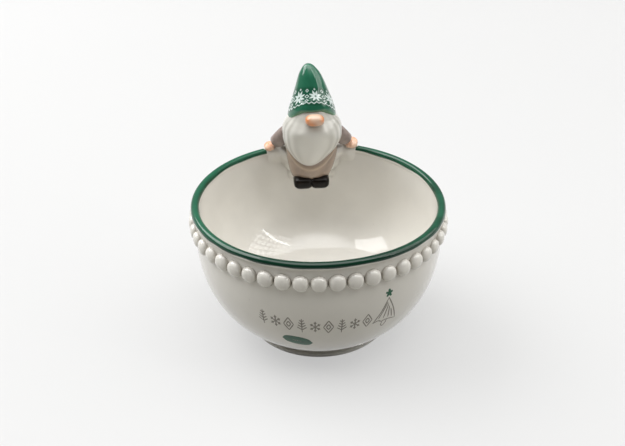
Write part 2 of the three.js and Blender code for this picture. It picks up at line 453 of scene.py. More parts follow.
def shaped_glaze(name, base, layer, over, reach_mm, deep, bump_mm):
    """A glaze with one painted layer, darker in the creases, partly from glaze pooling and partly
    as painted crease shade.
    """
    material, tree, shader, _ = glaze(name, bump=0.02, bump_mm=bump_mm)
    painted = add(tree, "ShaderNodeAttribute", attribute_name=layer).outputs["Fac"]
    tone = rgba(base)
    # The creases take the deep colour: glaze pooling together with painted crease shade.
    for share, shade in ((painted, over), (pooling_with_crease_shade(tree, reach_mm, 1.2), deep)):
        blend = {0: share, 6: tone, 7: linear(shade)}
        tone = add(tree, "ShaderNodeMix", blend, data_type="RGBA").outputs[2]
    tree.links.new(tone, shader.inputs["Base Color"])
    return material


def painted_glaze(name, base, pale, pool_and_shade, size_mm, crease_mm=2.5, gloss=1.0, fold_highlight=None):
    """A brushed underglaze colour: paler where the brush ran dry, and darker in creases, partly
    where the colour pools and partly as painted crease shade. A raised fold can carry a painted
    highlight.
    """
    material, tree, shader, place = glaze(name, bump=0.02, bump_mm=4)
    shader.inputs["Coat Weight"].default_value = gloss
    layers = [(patches(tree, place, size_mm, 0.32, 0.68, 4.0), pale)]
    if fold_highlight:
        # Painted highlight along the raised fold.
        fold = add(tree, "ShaderNodeAttribute", attribute_name="fold")
        layers.append((fold.outputs["Fac"], fold_highlight))
    # Creases: glaze pooling together with painted crease shade.
    layers.append((pooling_with_crease_shade(tree, crease_mm, 1.1), pool_and_shade))
    tone = rgba(base)
    for share, over in layers:
        blend = {0: share, 6: tone, 7: over}
        tone = add(tree, "ShaderNodeMix", blend, data_type="RGBA").outputs[2]
    tree.links.new(tone, shader.inputs["Base Color"])
    return material


def make_glazes(colours):
    """Every glaze on the object, by a short name."""
    glazes = {
        "white": white_glaze(colours),
        "rim": rim_glaze(colours),
        "hat": hat_glaze(colours),
    }
    # What it colours, its colour, the painted layer and its colour, how far glaze pooling and
    # painted crease shade reach in a crease and their colour there, and the length of the glass's
    # waves. The beard's grooves are painted grey as painted shade, and the nose has touches of a
    # stronger orange.
    for key, called, base, layer, over, reach_mm, deep, bump_mm in (
        ("beard", "beard white", colours.beard, "groove", "#A5A39A", 2.2, "#8F8B80", 5),
        ("nose", "pale peach", linear("#CFB29C"), "blush", "#CC8049", 2.0, "#B98866", 4),
    ):
        name = "clear glaze on " + called
        glazes[key] = shaped_glaze(name, base, layer, over, reach_mm, deep, bump_mm)
    # Name, what it colours, its colour, where the brush ran dry, where it pools together with
    # painted crease shade, brush mark in mm.
    for key, called, base, pale, pool_and_shade, size_mm, more in (
        ("tunic", "tunic beige", colours.tunic, "#A08D7C", "#4F4039", 6, {"fold_highlight": FOLD_HIGHLIGHT}),
        ("sleeve", "sleeve taupe", colours.sleeve, "#94867F", "#43332C", 5, {}),
        ("skin", "peach", colours.skin, "#DD9A72", "#BC7245", 5, {"crease_mm": 0.9}),
        ("boot", "boot black", colours.boot, "#150E09", "#030201", 4, {"gloss": 0.12}),
        ("ink", "grey print", colours.ink, "#807A70", "#5A554D", 3, {"crease_mm": 0.2}),
        ("leaf", "green print", linear("#1E5B42"), "#24563F", "#1D4A35", 3, {"gloss": 0.3}),
    ):
        name = "clear glaze on " + called
        glazes[key] = painted_glaze(name, base, linear(pale), linear(pool_and_shade), size_mm, **more)
    return glazes


GLAZES = {}


def glaze_of(name):
    """A glaze by its short name, all of them made on first use."""
    if not GLAZES:
        GLAZES.update(make_glazes(bpy.context.scene.gnomebowl_colours))
    return GLAZES[name]


# ---- The bowl's shape, shared by its pieces ----

BULGE_HEIGHT = 63.4
BASE_SINK = 67.8
BOWL_CURVE = 2.31
WELL_FLOOR = 8.6
WELL_CURVE = 2.6


def outer_radius(height):
    """The wall's outer radius at a height. Millimetres."""
    drop = np.clip((BULGE_HEIGHT - np.asarray(height, float)) / BASE_SINK, 0, 1)
    return BULGE_RADIUS * (1 - drop**BOWL_CURVE) ** (1 / BOWL_CURVE)


def settle(points):
    """Lifts and drops the top of the bowl a little, as a rim does in the kiln. Millimetres."""
    points = np.array(points, float)
    turn = np.arctan2(points[..., 1], points[..., 0])
    lift = 0.07 - 0.65 * np.cos(turn) - 0.43 * np.cos(2 * turn)
    lift += 0.8 * np.exp(-(((turn + 1.3) / 0.5) ** 2))
    points[..., 2] += lift * smoothstep(58, 78, points[..., 2])
    return points


def settle_mesh(piece):
    """Settles a finished mesh object."""
    count = len(piece.data.vertices)
    flat = np.empty(3 * count)
    piece.data.vertices.foreach_get("co", flat)
    moved = settle(flat.reshape(-1, 3) / MM) * MM
    piece.data.vertices.foreach_set("co", moved.ravel())
    piece.data.update()


# ---- Geometry Nodes: the wall and the beads ----

HAND_WAVE = 34.0  # mm from one wave of the wall to the next
BEAD_DRIFT = 0.22  # mm that a bead may stand off the band's level


def new_tree(name, sizes):
    """An empty Geometry Nodes tree with named inputs, and its input and output nodes."""
    tree = bpy.data.node_groups.new(name, "GeometryNodeTree")
    tree.interface.new_socket("Geometry", in_out="OUTPUT", socket_type="NodeSocketGeometry")
    for label, kind, default in sizes:
        socket = tree.interface.new_socket(label, in_out="INPUT", socket_type=kind)
        if default is not None:
            socket.default_value = default
    return tree, tree.nodes.new("NodeGroupInput"), tree.nodes.new("NodeGroupOutput")


def run_tree(name, tree, values):
    """Runs a tree on an empty mesh and returns the result as a plain mesh object."""
    holder = bpy.data.objects.new(name, bpy.data.meshes.new(name))
    bpy.context.scene.collection.objects.link(holder)
    modifier = holder.modifiers.new(name, "NODES")
    modifier.node_group = tree
    for item in tree.interface.items_tree:
        if item.item_type == "SOCKET" and item.in_out == "INPUT" and item.name in values:
            modifier[item.identifier] = values[item.name]
    bpy.context.view_layer.update()
    seen = holder.evaluated_get(bpy.context.evaluated_depsgraph_get())
    mesh = bpy.data.meshes.new_from_object(seen)
    holder.modifiers.remove(modifier)
    holder.data = mesh
    mesh.name = name
    return holder


def round_axis(tree, turn, radius, height):
    """A position at an angle round the Z axis."""
    parts = {"Z": height}
    for axis, operation in (("X", "COSINE"), ("Y", "SINE")):
        share = add(tree, "ShaderNodeMath", {0: turn}, operation=operation).outputs[0]
        scaled = add(tree, "ShaderNodeMath", {0: share, 1: radius}, operation="MULTIPLY")
        parts[axis] = scaled.outputs[0]
    return add(tree, "ShaderNodeCombineXYZ", parts).outputs[0]


def revolved_sheet(tree, rows, cols, radius_rule):
    """A grid wrapped round the Z axis. radius_rule gives radius and height along the rows."""
    unit = {"Size X": 1.0, "Size Y": 1.0, "Vertices X": rows, "Vertices Y": cols}
    grid = add(tree, "GeometryNodeMeshGrid", unit)
    position = add(tree, "GeometryNodeInputPosition").outputs[0]
    spot = add(tree, "ShaderNodeSeparateXYZ", {0: position}).outputs
    along = add(tree, "ShaderNodeMath", {0: spot["X"], 1: 0.5}, operation="ADD").outputs[0]
    round_once = {0: spot["Y"], 1: 2 * math.pi}
    turn = add(tree, "ShaderNodeMath", round_once, operation="MULTIPLY").outputs[0]
    # The first row is held back as the start of the sheet, and the rest run from 0 to 1.
    last = add(tree, "ShaderNodeMath", {0: rows, 1: 1.0}, operation="SUBTRACT").outputs[0]
    row = add(tree, "ShaderNodeMath", {0: along, 1: last}, operation="MULTIPLY").outputs[0]
    entry = add(tree, "ShaderNodeMath", {0: row, 1: 1.0}, operation="MINIMUM").outputs[0]
    shifted = add(tree, "ShaderNodeMath", {0: row, 1: 1.0}, operation="SUBTRACT").outputs[0]
    span = add(tree, "ShaderNodeMath", {0: last, 1: 1.0}, operation="SUBTRACT").outputs[0]
    part = add(tree, "ShaderNodeMath", {0: shifted, 1: span}, operation="DIVIDE", use_clamp=True)
    radius, height = radius_rule(entry, part.outputs[0])
    placed = round_axis(tree, turn, radius, height)
    bent = {"Geometry": grid.outputs["Mesh"], "Position": placed}
    return add(tree, "GeometryNodeSetPosition", bent).outputs["Geometry"]


def oval_radius(tree, widest, height, level, sink, curve):
    """Radius at a height on a curve that is widest at level and closes sink below it."""
    below = add(tree, "ShaderNodeMath", {0: level, 1: height}, operation="SUBTRACT").outputs[0]
    drop = add(tree, "ShaderNodeMath", {0: below, 1: sink}, operation="DIVIDE", use_clamp=True)
    bent = add(tree, "ShaderNodeMath", {0: drop.outputs[0], 1: curve}, operation="POWER").outputs[0]
    left = add(tree, "ShaderNodeMath", {0: 1.0, 1: bent}, operation="SUBTRACT", use_clamp=True)
    root = add(tree, "ShaderNodeMath", {0: 1.0, 1: curve}, operation="DIVIDE").outputs[0]
    share = add(tree, "ShaderNodeMath", {0: left.outputs[0], 1: root}, operation="POWER").outputs[0]
    return add(tree, "ShaderNodeMath", {0: share, 1: widest}, operation="MULTIPLY").outputs[0]


def wall_tree():
    """The bowl's wall and floor: an outer and an inner sheet that meet below the lip."""
    tree, given, result = new_tree(
        "Bowl wall",
        [
            ("Outer radius", "NodeSocketFloat", BULGE_RADIUS * MM),
            ("Inner radius", "NodeSocketFloat", (RIM_RADIUS - WALL) * MM),
            ("Widest level", "NodeSocketFloat", BULGE_HEIGHT * MM),
            ("Outer sink", "NodeSocketFloat", BASE_SINK * MM),
            ("Outer curve", "NodeSocketFloat", BOWL_CURVE),
            ("Inner curve", "NodeSocketFloat", WELL_CURVE),
            ("Underside", "NodeSocketFloat", FOOT_HEIGHT * MM),
            ("Well floor", "NodeSocketFloat", WELL_FLOOR * MM),
            ("Top", "NodeSocketFloat", LIP_BOTTOM * MM),
            ("Rows", "NodeSocketInt", 120),
            ("Columns", "NodeSocketInt", 385),
            ("Unevenness", "NodeSocketFloat", 0.16 * MM),
            ("Seed", "NodeSocketFloat", 3.0),
            ("Glaze", "NodeSocketMaterial", None),
        ],
    )
    size = given.outputs

    level = size["Widest level"]

    def outside(entry, part):
        """From the middle of the underside up to the lip."""
        climb = {"Value": part, "To Min": size["Underside"], "To Max": size["Top"]}
        height = add(tree, "ShaderNodeMapRange", climb).outputs["Result"]
        sink, curve = size["Outer sink"], size["Outer curve"]
        radius = oval_radius(tree, size["Outer radius"], height, level, sink, curve)
        # The first row is the middle of the underside.
        closed = add(tree, "ShaderNodeMath", {0: radius, 1: entry}, operation="MULTIPLY").outputs[0]
        return closed, height

    def inside(entry, part):
        """From the lip down to the middle of the well."""
        right_angle = {0: part, 1: math.pi / 2}
        quarter = add(tree, "ShaderNodeMath", right_angle, operation="MULTIPLY").outputs[0]
        sunk = add(tree, "ShaderNodeMath", {0: quarter}, operation="SINE").outputs[0]
        fall = {"Value": sunk, "To Min": size["Top"], "To Max": size["Well floor"]}
        height = add(tree, "ShaderNodeMapRange", fall).outputs["Result"]
        deep = {0: level, 1: size["Well floor"]}
        sink = add(tree, "ShaderNodeMath", deep, operation="SUBTRACT").outputs[0]
        curve = size["Inner curve"]
        radius = oval_radius(tree, size["Inner radius"], height, level, sink, curve)
        # The first row lies on the outer sheet's top edge.
        spread = {"Value": entry, "To Min": size["Outer radius"], "To Max": radius}
        return add(tree, "ShaderNodeMapRange", spread).outputs["Result"], height

    outer = revolved_sheet(tree, size["Rows"], size["Columns"], outside)
    inner = revolved_sheet(tree, size["Rows"], size["Columns"], inside)
    joined = tree.nodes.new("GeometryNodeJoinGeometry")
    tree.links.new(outer, joined.inputs[0])
    tree.links.new(inner, joined.inputs[0])
    weld = {"Geometry": joined.outputs[0], "Distance": 0.02 * MM}
    welded = add(tree, "GeometryNodeMergeByDistance", weld).outputs["Geometry"]
    # Slow waves from the potter's hand, which die away towards the lip.
    spot = add(tree, "GeometryNodeInputPosition").outputs[0]
    hand = {"Vector": spot, "W": size["Seed"], "Scale": 1000 / HAND_WAVE, "Detail": 1.0}
    noise = add(tree, "ShaderNodeTexNoise", hand, noise_dimensions="4D").outputs["Fac"]
    push = add(tree, "ShaderNodeMath", {0: noise, 1: 0.5}, operation="SUBTRACT").outputs[0]
    height = add(tree, "ShaderNodeSeparateXYZ", {0: spot}).outputs["Z"]
    start, stop = (LIP_BOTTOM - 1) * MM, (LIP_BOTTOM - 14) * MM
    below = {"Value": height, "From Min": start, "From Max": stop}
    fade = add(tree, "ShaderNodeMapRange", below, interpolation_type="SMOOTHSTEP")
    # The noise stays near its middle, so it is made stronger.
    for factor in (size["Unevenness"], fade.outputs["Result"], 4.0):
        push = add(tree, "ShaderNodeMath", {0: push, 1: factor}, operation="MULTIPLY").outputs[0]
    facing = add(tree, "GeometryNodeInputNormal").outputs[0]
    shift = add(tree, "ShaderNodeVectorMath", {0: facing, "Scale": push}, operation="SCALE")
    moved = {"Geometry": welded, "Offset": shift.outputs[0]}
    waved = add(tree, "GeometryNodeSetPosition", moved).outputs["Geometry"]
    smooth = add(tree, "GeometryNodeSetShadeSmooth", {"Geometry": waved}, domain="FACE").outputs[0]
    angle = add(tree, "GeometryNodeInputMeshEdgeAngle").outputs[0]
    steep = {0: angle, 1: math.radians(40)}
    sharp = add(tree, "FunctionNodeCompare", steep, operation="GREATER_THAN").outputs[0]
    hard = {"Geometry": smooth, "Selection": sharp, "Shade Smooth": False}
    edged = add(tree, "GeometryNodeSetShadeSmooth", hard, domain="EDGE").outputs[0]
    solid = add(tree, "GeometryNodeRealizeInstances", {"Geometry": edged}).outputs[0]
    covered = {"Geometry": solid, "Material": size["Glaze"]}
    glazed = add(tree, "GeometryNodeSetMaterial", covered).outputs[0]
    tree.links.new(glazed, result.inputs[0])
    return tree


def bead_tree():
    """Half-round beads set round the wall, each with a skirt of glaze that runs into the wall."""
    tree, given, result = new_tree(
        "Bead band",
        [
            ("Count", "NodeSocketInt", 48),
            ("Band radius", "NodeSocketFloat", BULGE_RADIUS * MM),
            ("Level", "NodeSocketFloat", BEAD_LEVEL * MM),
            ("Bead radius", "NodeSocketFloat", 4.15 * MM),
            ("Bead height", "NodeSocketFloat", 3.3 * MM),
            ("Variation", "NodeSocketFloat", 0.045),
            ("Seed", "NodeSocketInt", 7),
            ("Glaze", "NodeSocketMaterial", None),
        ],
    )
    size = given.outputs
    ball = add(tree, "GeometryNodeMeshUVSphere", {"Segments": 16, "Rings": 10, "Radius": 1.0})
    position = add(tree, "GeometryNodeInputPosition").outputs[0]
    spot = add(tree, "ShaderNodeSeparateXYZ", {0: position}).outputs
    # Towards the wall the dome opens into a skirt.
    low = {"Value": spot["Z"], "From Min": 0.42, "From Max": 0.0}
    sunk = add(tree, "ShaderNodeMapRange", low).outputs["Result"]
    skirt = add(tree, "ShaderNodeMath", {0: sunk, 1: 2.0}, operation="POWER").outputs[0]
    flare = add(tree, "ShaderNodeMath", {0: skirt, 1: 0.17, 2: 1.0}, operation="MULTIPLY_ADD")
    scaled = {0: flare.outputs[0], 1: size["Bead radius"]}
    wide = add(tree, "ShaderNodeMath", scaled, operation="MULTIPLY").outputs[0]
    # The half below the surface is pressed almost flat, so that it stays inside the wall.
    above = add(tree, "ShaderNodeMath", {0: spot["Z"], 1: 0.0}, operation="MAXIMUM").outputs[0]
    below = add(tree, "ShaderNodeMath", {0: spot["Z"], 1: 0.0}, operation="MINIMUM").outputs[0]
    # A power below 1 flattens the dome, as a thumb does.
    domed = add(tree, "ShaderNodeMath", {0: above, 1: 0.42}, operation="POWER").outputs[0]
    both = add(tree, "ShaderNodeMath", {0: below, 1: 0.15, 2: domed}, operation="MULTIPLY_ADD")
    parts = {}
    for axis, share, reach in (
        ("X", spot["X"], wide),
        ("Y", spot["Y"], wide),
        ("Z", both.outputs[0], size["Bead height"]),
    ):
        scaled = add(tree, "ShaderNodeMath", {0: share, 1: reach}, operation="MULTIPLY")
        parts[axis] = scaled.outputs[0]
    placed = add(tree, "ShaderNodeCombineXYZ", parts).outputs[0]
    pressed = {"Geometry": ball.outputs["Mesh"], "Position": placed}
    shaped = add(tree, "GeometryNodeSetPosition", pressed).outputs["Geometry"]
    band = {"Vertices": size["Count"], "Radius": size["Band radius"]}
    ring = add(tree, "GeometryNodeMeshCircle", band)
    number = add(tree, "GeometryNodeInputIndex").outputs[0]
    middle = add(tree, "ShaderNodeMath", {0: number, 1: 0.5}, operation="ADD").outputs[0]
    of_all = {0: middle, 1: size["Count"]}
    share = add(tree, "ShaderNodeMath", of_all, operation="DIVIDE").outputs[0]
    turn = add(tree, "ShaderNodeMath", {0: share, 1: 2 * math.pi}, operation="MULTIPLY").outputs[0]
    spread = {2: -BEAD_DRIFT * MM, 3: BEAD_DRIFT * MM, "Seed": size["Seed"]}
    drift = add(tree, "FunctionNodeRandomValue", spread, data_type="FLOAT").outputs[1]
    height = add(tree, "ShaderNodeMath", {0: size["Level"], 1: drift}, operation="ADD").outputs[0]
    spots = round_axis(tree, turn, size["Band radius"], height)
    moved = {"Geometry": ring.outputs["Mesh"], "Position": spots}
    placed = add(tree, "GeometryNodeSetPosition", moved).outputs["Geometry"]
    # Each bead's pole is turned outwards, and then round to its place.
    angles = add(tree, "ShaderNodeCombineXYZ", {"Y": math.pi / 2, "Z": turn}).outputs[0]
    facing = add(tree, "FunctionNodeEulerToRotation", {0: angles}).outputs[0]
    limits = {"Seed": size["Seed"]}
    for end, operation in ((2, "SUBTRACT"), (3, "ADD")):
        limit = add(tree, "ShaderNodeMath", {0: 1.0, 1: size["Variation"]}, operation=operation)
        limits[end] = limit.outputs[0]
    growth = add(tree, "FunctionNodeRandomValue", limits, data_type="FLOAT").outputs[1]
    row = {"Points": placed, "Instance": shaped, "Rotation": facing, "Scale": growth}
    beads = add(tree, "GeometryNodeInstanceOnPoints", row).outputs[0]
    solid = add(tree, "GeometryNodeRealizeInstances", {"Geometry": beads}).outputs[0]
    smooth = add(tree, "GeometryNodeSetShadeSmooth", {"Geometry": solid}).outputs[0]
    covered = {"Geometry": smooth, "Material": size["Glaze"]}
    glazed = add(tree, "GeometryNodeSetMaterial", covered).outputs[0]
    tree.links.new(glazed, result.inputs[0])
    return tree


# ---- Operators: one for each piece or group of like pieces ----


class GNOMEBOWL_OT_wall(bpy.types.Operator):
    """Build the bowl's wall and floor"""

    bl_idname = "gnomebowl.wall"
    bl_label = "Bowl wall"

    def execute(self, context):
        sizes = context.scene.gnomebowl_sizes
        piece = run_tree(
            "bowl_wall",
            wall_tree(),
            {
                "Inner radius": sizes.rim_radius - sizes.wall,
                "Top": (LIP_BOTTOM - 0.1) * MM,
                "Unevenness": sizes.unevenness,
                "Glaze": glaze_of("white"),
            },
        )
        settle_mesh(piece)
        finish(piece, "white_glaze", "bowl_body")
        return {"FINISHED"}


class GNOMEBOWL_OT_foot(bpy.types.Operator):
    """Turn the foot ring, with its rounded edges and the groove under the wall"""

    bl_idname = "gnomebowl.foot"
    bl_label = "Foot ring"

    def execute(self, context):
        outer = float(FOOT_BOX[1][0])
        inner = outer - 5.0
        top = FOOT_HEIGHT + 0.2
        outline = smooth_line(
            [
                (inner, top),
                (inner, 1.0),
                (inner + 0.5, 0.15),
                (inner + 1.3, 0.0),
                (outer - 2.2, 0.0),
                (outer - 1.0, 0.12),
                (outer - 0.25, 0.8),
                (outer, 1.8),
                (outer - 0.25, 2.9),
                (outer - 0.9, 3.7),
                (outer - 1.1, top),
            ],
            44,
        )
        rings = [turned(outline, a) for a in np.linspace(0, 2 * np.pi, 193)[:-1]]
        rows, cols = len(rings), len(outline)
        faces = []
        for row in range(rows):
            after = (row + 1) % rows
            for col in range(cols):
                beside = (col + 1) % cols
                here, there = row * cols, after * cols
                faces.append((here + col, there + col, there + beside, here + beside))
        shape = np.vstack(rings), faces
        clay("foot_ring_glazed", shape, "white", "white_glaze", "foot_ring")
        return {"FINISHED"}


def lip_outline(inner, outer, crown, bottom, steps=34):
    """A rolled lip's outline, from its outer foot over the crown to its inner foot."""
    middle, half = (outer + inner) / 2, (outer - inner) / 2
    points = [(outer - 1.6, bottom - 0.5), (outer - 0.75, bottom - 0.2)]
    for i in range(steps + 1):
        # A little squarer than a half circle: a lip wiped with a sponge.
        a = math.pi * i / steps
        c, s = math.cos(a), math.sin(a)
        reach = half * math.copysign(abs(c) ** 0.9, c)
        points.append((middle + reach, bottom + (crown - bottom) * abs(s) ** 0.8))
    points += [(inner - 0.02, bottom - 0.7), (inner + 0.8, bottom - 1.0)]
    return np.array(points)


class GNOMEBOWL_OT_rim(bpy.types.Operator):
    """Roll the lip, and brush it green from one hand round the front to the other"""

    bl_idname = "gnomebowl.rim"
    bl_label = "Green lip"

    def execute(self, context):
        start = math.radians(90 + SADDLE_ANGLE - 0.8)
        stop = math.radians(450 - SADDLE_ANGLE + 0.8)
        rings, paints = [], []
        for a in np.linspace(start, stop, 481):
            arc = a * RIM_RADIUS
            swell = 0.12 * float(waves(arc, 13, 70))
            outline = lip_outline(RIM_RADIUS - 4.7 - swell, RIM_RADIUS + swell, RIM_TOP, LIP_BOTTOM)
            rings.append(turned(outline, a))
            # The brush left two wandering edges, one outside and one inside.
            outside = outline[:, 0] > RIM_RADIUS - 2.3
            edge = np.where(
                outside,
                RIM_TOP - 2.35 + 0.35 * float(waves(arc, 11, 26)),
                RIM_TOP - 2.5 + 0.45 * float(waves(arc, 12, 30)),
            )
            paints.append(smoothstep(edge - 0.22, edge + 0.22, outline[:, 1]))
        points, faces = capped_sweep(rings)
        shape = settle(points), faces
        clay("green_lip", shape, "rim", "rim_green", "rim_band", brushed=np.concatenate(paints))
        return {"FINISHED"}


class GNOMEBOWL_OT_beads(bpy.types.Operator):
    """Press the row of beads round the wall"""

    bl_idname = "gnomebowl.beads"
    bl_label = "Beads"

    def execute(self, context):
        sizes = context.scene.gnomebowl_sizes
        piece = run_tree(
            "bead_row",
            bead_tree(),
            {
                "Count": sizes.bead_count,
                "Bead radius": sizes.bead_radius,
                "Band radius": (BULGE_RADIUS - 0.3) * MM,
                "Glaze": glaze_of("white"),
            },
        )
        settle_mesh(piece)
        finish(piece, "white_glaze", "bead_band")
        return {"FINISHED"}


# The tunic's half width and half depth by height, shared with the saddle behind it.
TUNIC_PROFILE = np.array(
    [
        (65.2, 9.8, 8.6),
        (66.0, 11.2, 9.6),
        (68.5, 12.6, 10.6),
        (74.0, 14.2, 11.9),
        (80.0, 15.4, 12.9),
        (86.0, 16.0, 13.4),
        (92.0, 15.6, 13.0),
        (96.5, 13.6, 11.6),
        (99.3, 9.0, 8.0),
    ]
)


def tunic_width(height):
    """The tunic's half width at a height. Millimetres."""
    return np.interp(height, TUNIC_PROFILE[:, 0], TUNIC_PROFILE[:, 1], left=10.5)


class GNOMEBOWL_OT_saddle(bpy.types.Operator):
    """Lay the white saddle: the raised lip between the hands and the clay behind the body"""

    bl_idname = "gnomebowl.saddle"
    bl_label = "White saddle"

    def execute(self, context):
        half = SADDLE_ANGLE + 1.0
        turns = np.radians(90 + np.linspace(-half, half, 121))
        points, faces = capped_sweep([self.outline(a, half) for a in turns])
        clay("white_saddle", (settle(points), faces), "white", "white_glaze", "saddle")
        return {"FINISHED"}

    def outline(self, turn, half):
        """The saddle's closed outline at one place on the rim."""
        wall = RIM_RADIUS - WALL
        away = abs(math.degrees(turn) - 90)
        ends = float(smoothstep(half, half - 5, away))
        side = abs(math.cos(turn)) * (wall - 3)
        heights = np.linspace(55.5, LIP_BOTTOM - 0.6, 44)
        # How far the clay stands in from the wall: full behind the body, gone a little beyond.
        spread = 4.6 + 3.2 * smoothstep(72, 79, heights)
        body = 6.6 * smoothstep(tunic_width(heights) + spread, tunic_width(heights) + 0.6, side)
        body = body * smoothstep(56.5, 65.5, heights)
        ledge = 2.3 * smoothstep(69, LIP_BOTTOM - 0.6, heights) * ends
        stand = np.maximum(body, ledge) + 0.5 * np.minimum(body, ledge)
        inner = [(wall + 0.25 - s, z) for z, s in zip(heights, stand)]
        reach = stand[-1]
        crown = RIM_TOP - LIP_BOTTOM + 1.6 * ends
        middle = (RIM_RADIUS + wall - reach) / 2
        width = (RIM_RADIUS - wall + reach) / 2
        over = []
        for i in range(1, 24):
            a = math.pi * (1 - i / 24)
            c, s = math.cos(a), math.sin(a)
            over.append(
                (
                    middle + width * math.copysign(abs(c) ** 0.85, c),
                    LIP_BOTTOM - 0.4 + (crown + 0.4) * abs(s) ** 0.9,
                )
            )
        back = [
            (BULGE_RADIUS + 0.1, LIP_BOTTOM - 0.9),
            (BULGE_RADIUS - 0.6, LIP_BOTTOM - 1.4),
            (wall + 1.0, LIP_BOTTOM - 1.6),
            (wall + 1.0, 55.5),
        ]
        return turned(np.array(inner + over + back), turn)


# ---- Printed motifs on the front ----

PRINT_RADIUS = float(outer_radius(42.0))  # where the prints' widths are true
MOTIFS = 9
MOTIF_START = -34.0  # across, from the middle of the front
MOTIF_STEP = 6.85
MOTIF_LEVEL = 36.8
MOTIF_HEIGHT = 10.4


def ribbon(strokes, width, lift=0.06):
    """Closed thin ribbons that lie on the wall, one for each stroke of (across, height) points."""
    wall = bpy.data.objects["bowl_wall"]
    surface = BVHTree.FromObject(wall, bpy.context.evaluated_depsgraph_get())
    points, faces = [], []
    for number, stroke in enumerate(strokes):
        stroke = np.array(stroke, float)
        line = smooth_line(stroke, 6 * (len(stroke) - 1) + 1) if len(stroke) > 2 else stroke
        if len(line) == 2:
            line = line[0] + (line[1] - line[0]) * np.linspace(0, 1, 9)[:, None]
        ahead = np.gradient(line, axis=0)
        ahead /= np.linalg.norm(ahead, axis=1)[:, None]
        side = np.column_stack([-ahead[:, 1], ahead[:, 0]])
        part = np.linspace(0, 1, len(line))
        ease = np.minimum(1, 0.5 + 3 * np.minimum(part, 1 - part))
        sway = 1 + 0.16 * waves(np.arange(len(line)), 50 + number, 9)
        reach = (width / 2 * ease * sway)[:, None]
        base = len(points)
        for p, s, r in zip(line, side, reach):
            for sign, high in ((-1, -lift), (1, -lift), (1, lift), (-1, lift)):
                across, height = p + sign * s * r
                a = across / PRINT_RADIUS
                inward = Vector((-math.sin(a), math.cos(a), 0))
                start = Vector((0, 0, height * MM)) - inward * 0.09
                spot, facing = surface.ray_cast(start, inward)[:2]
                points.append(np.array(spot + facing * high * MM) / MM)
        count = len(line)
        for i in range(count - 1):
            a, b = base + 4 * i, base + 4 * (i + 1)
            for k in range(4):
                n = (k + 1) % 4
                faces.append((a + k, a + n, b + n, b + k))
        faces.append((base, base + 3, base + 2, base + 1))
        end = base + 4 * (count - 1)
        faces.append((end, end + 1, end + 2, end + 3))
    return points, faces


def sprig(x, z, tall):
    """A small fir sprig: a stem and four pairs of needles."""
    strokes = [[(x, z), (x, z + tall)]]
    for share in (0.22, 0.42, 0.62, 0.82):
        reach = tall * 0.21 * (1.35 - share)
        top = z + tall * share
        for way in (-1, 1):
            strokes.append([(x + way * reach, top + reach * 0.8), (x, top - 0.1)])
    return strokes


def crystal(x, z, tall):
    """A small snow crystal of three crossed strokes with barbs."""
    r = tall * 0.4
    m = z + tall / 2
    strokes = []
    for degrees in range(0, 360, 60):
        a = math.radians(degrees + 30)
        tip = (x + 0.72 * r * math.cos(a), m + r * math.sin(a))
        strokes.append([(x, m), tip])
        for turn in (-0.7, 0.7):
            barb = (
                x + 0.72 * r * (0.55 * math.cos(a) + 0.33 * math.cos(a + turn)),
                m + r * (0.55 * math.sin(a) + 0.33 * math.sin(a + turn)),
            )
            strokes.append([(x + 0.72 * r * 0.55 * math.cos(a), m + r * 0.55 * math.sin(a)), barb])
    return strokes


def lozenge(x, z, tall):
    """Two upright lozenges, one inside the other."""
    m = z + tall / 2
    strokes = []
    for w, h in ((tall * 0.25, tall * 0.46), (tall * 0.11, tall * 0.2)):
        corners = [(x, m - h), (x + w, m), (x, m + h), (x - w, m), (x, m - h)]
        strokes += [[corners[i], corners[i + 1]] for i in range(4)]
    return strokes


class GNOMEBOWL_OT_prints(bpy.types.Operator):
    """Print the row of small motifs, the fir tree with its star and the leaf on the front"""

    bl_idname = "gnomebowl.prints"
    bl_label = "Printed motifs"

    def execute(self, context):
        width = context.scene.gnomebowl_sizes.print_width / MM
        row = []
        makers = (sprig, crystal, lozenge)
        for i in range(MOTIFS):
            x = MOTIF_START + MOTIF_STEP * i
            # The row sags a little in its middle.
            row += makers[i % 3](x, MOTIF_LEVEL + 0.0019 * (x - 5) ** 2, MOTIF_HEIGHT)
        tree = [
            [(32.1, 54.6), (28.6, 46.5), (24.4, 38.6)],
            [(32.1, 54.6), (35.8, 46.2), (38.8, 37.2)],
            [(24.4, 38.6), (27.5, 39.6), (29.6, 38.2)],
            [(29.6, 38.2), (32.8, 38.8), (38.8, 37.2)],
            [(30.4, 38.6), (30.0, 35.6), (31.4, 33.9), (32.6, 35.8), (33.0, 38.6)],
            [(31.8, 51.6), (27.4, 41.2)],
            [(32.3, 50.4), (30.4, 40.6)],
            [(33.0, 48.6), (33.4, 40.2)],
            [(34.2, 46.4), (36.0, 39.4)],
        ]
        shape = ribbon(row + tree, width)
        clay("printed_motifs", shape, "ink", "white_glaze", smooth=False)
        green = []
        for k in range(5):
            a = math.radians(90 + 72 * k)
            green.append([(31.9, 57.6), (31.9 + 2.1 * math.cos(a), 57.6 + 2.6 * math.sin(a))])
        # A plain leaf lies below the row.
        for side in (-3.5, -2.6, -1.7, -0.8, 0.8, 1.7, 2.6, 3.5):
            near, far = (-22.4, 29.8 + 0.75 * side), (-11.4, 28.0 + 0.75 * side)
            green.append([(-25.2, 30.2), near, (-17.0, 28.9 + side), far, (-8.6, 27.4)])
        clay("printed_green", ribbon(green, 1.3, 0.07), "leaf", "hat_green", smooth=False)
        return {"FINISHED"}


# ---- The gnome ----

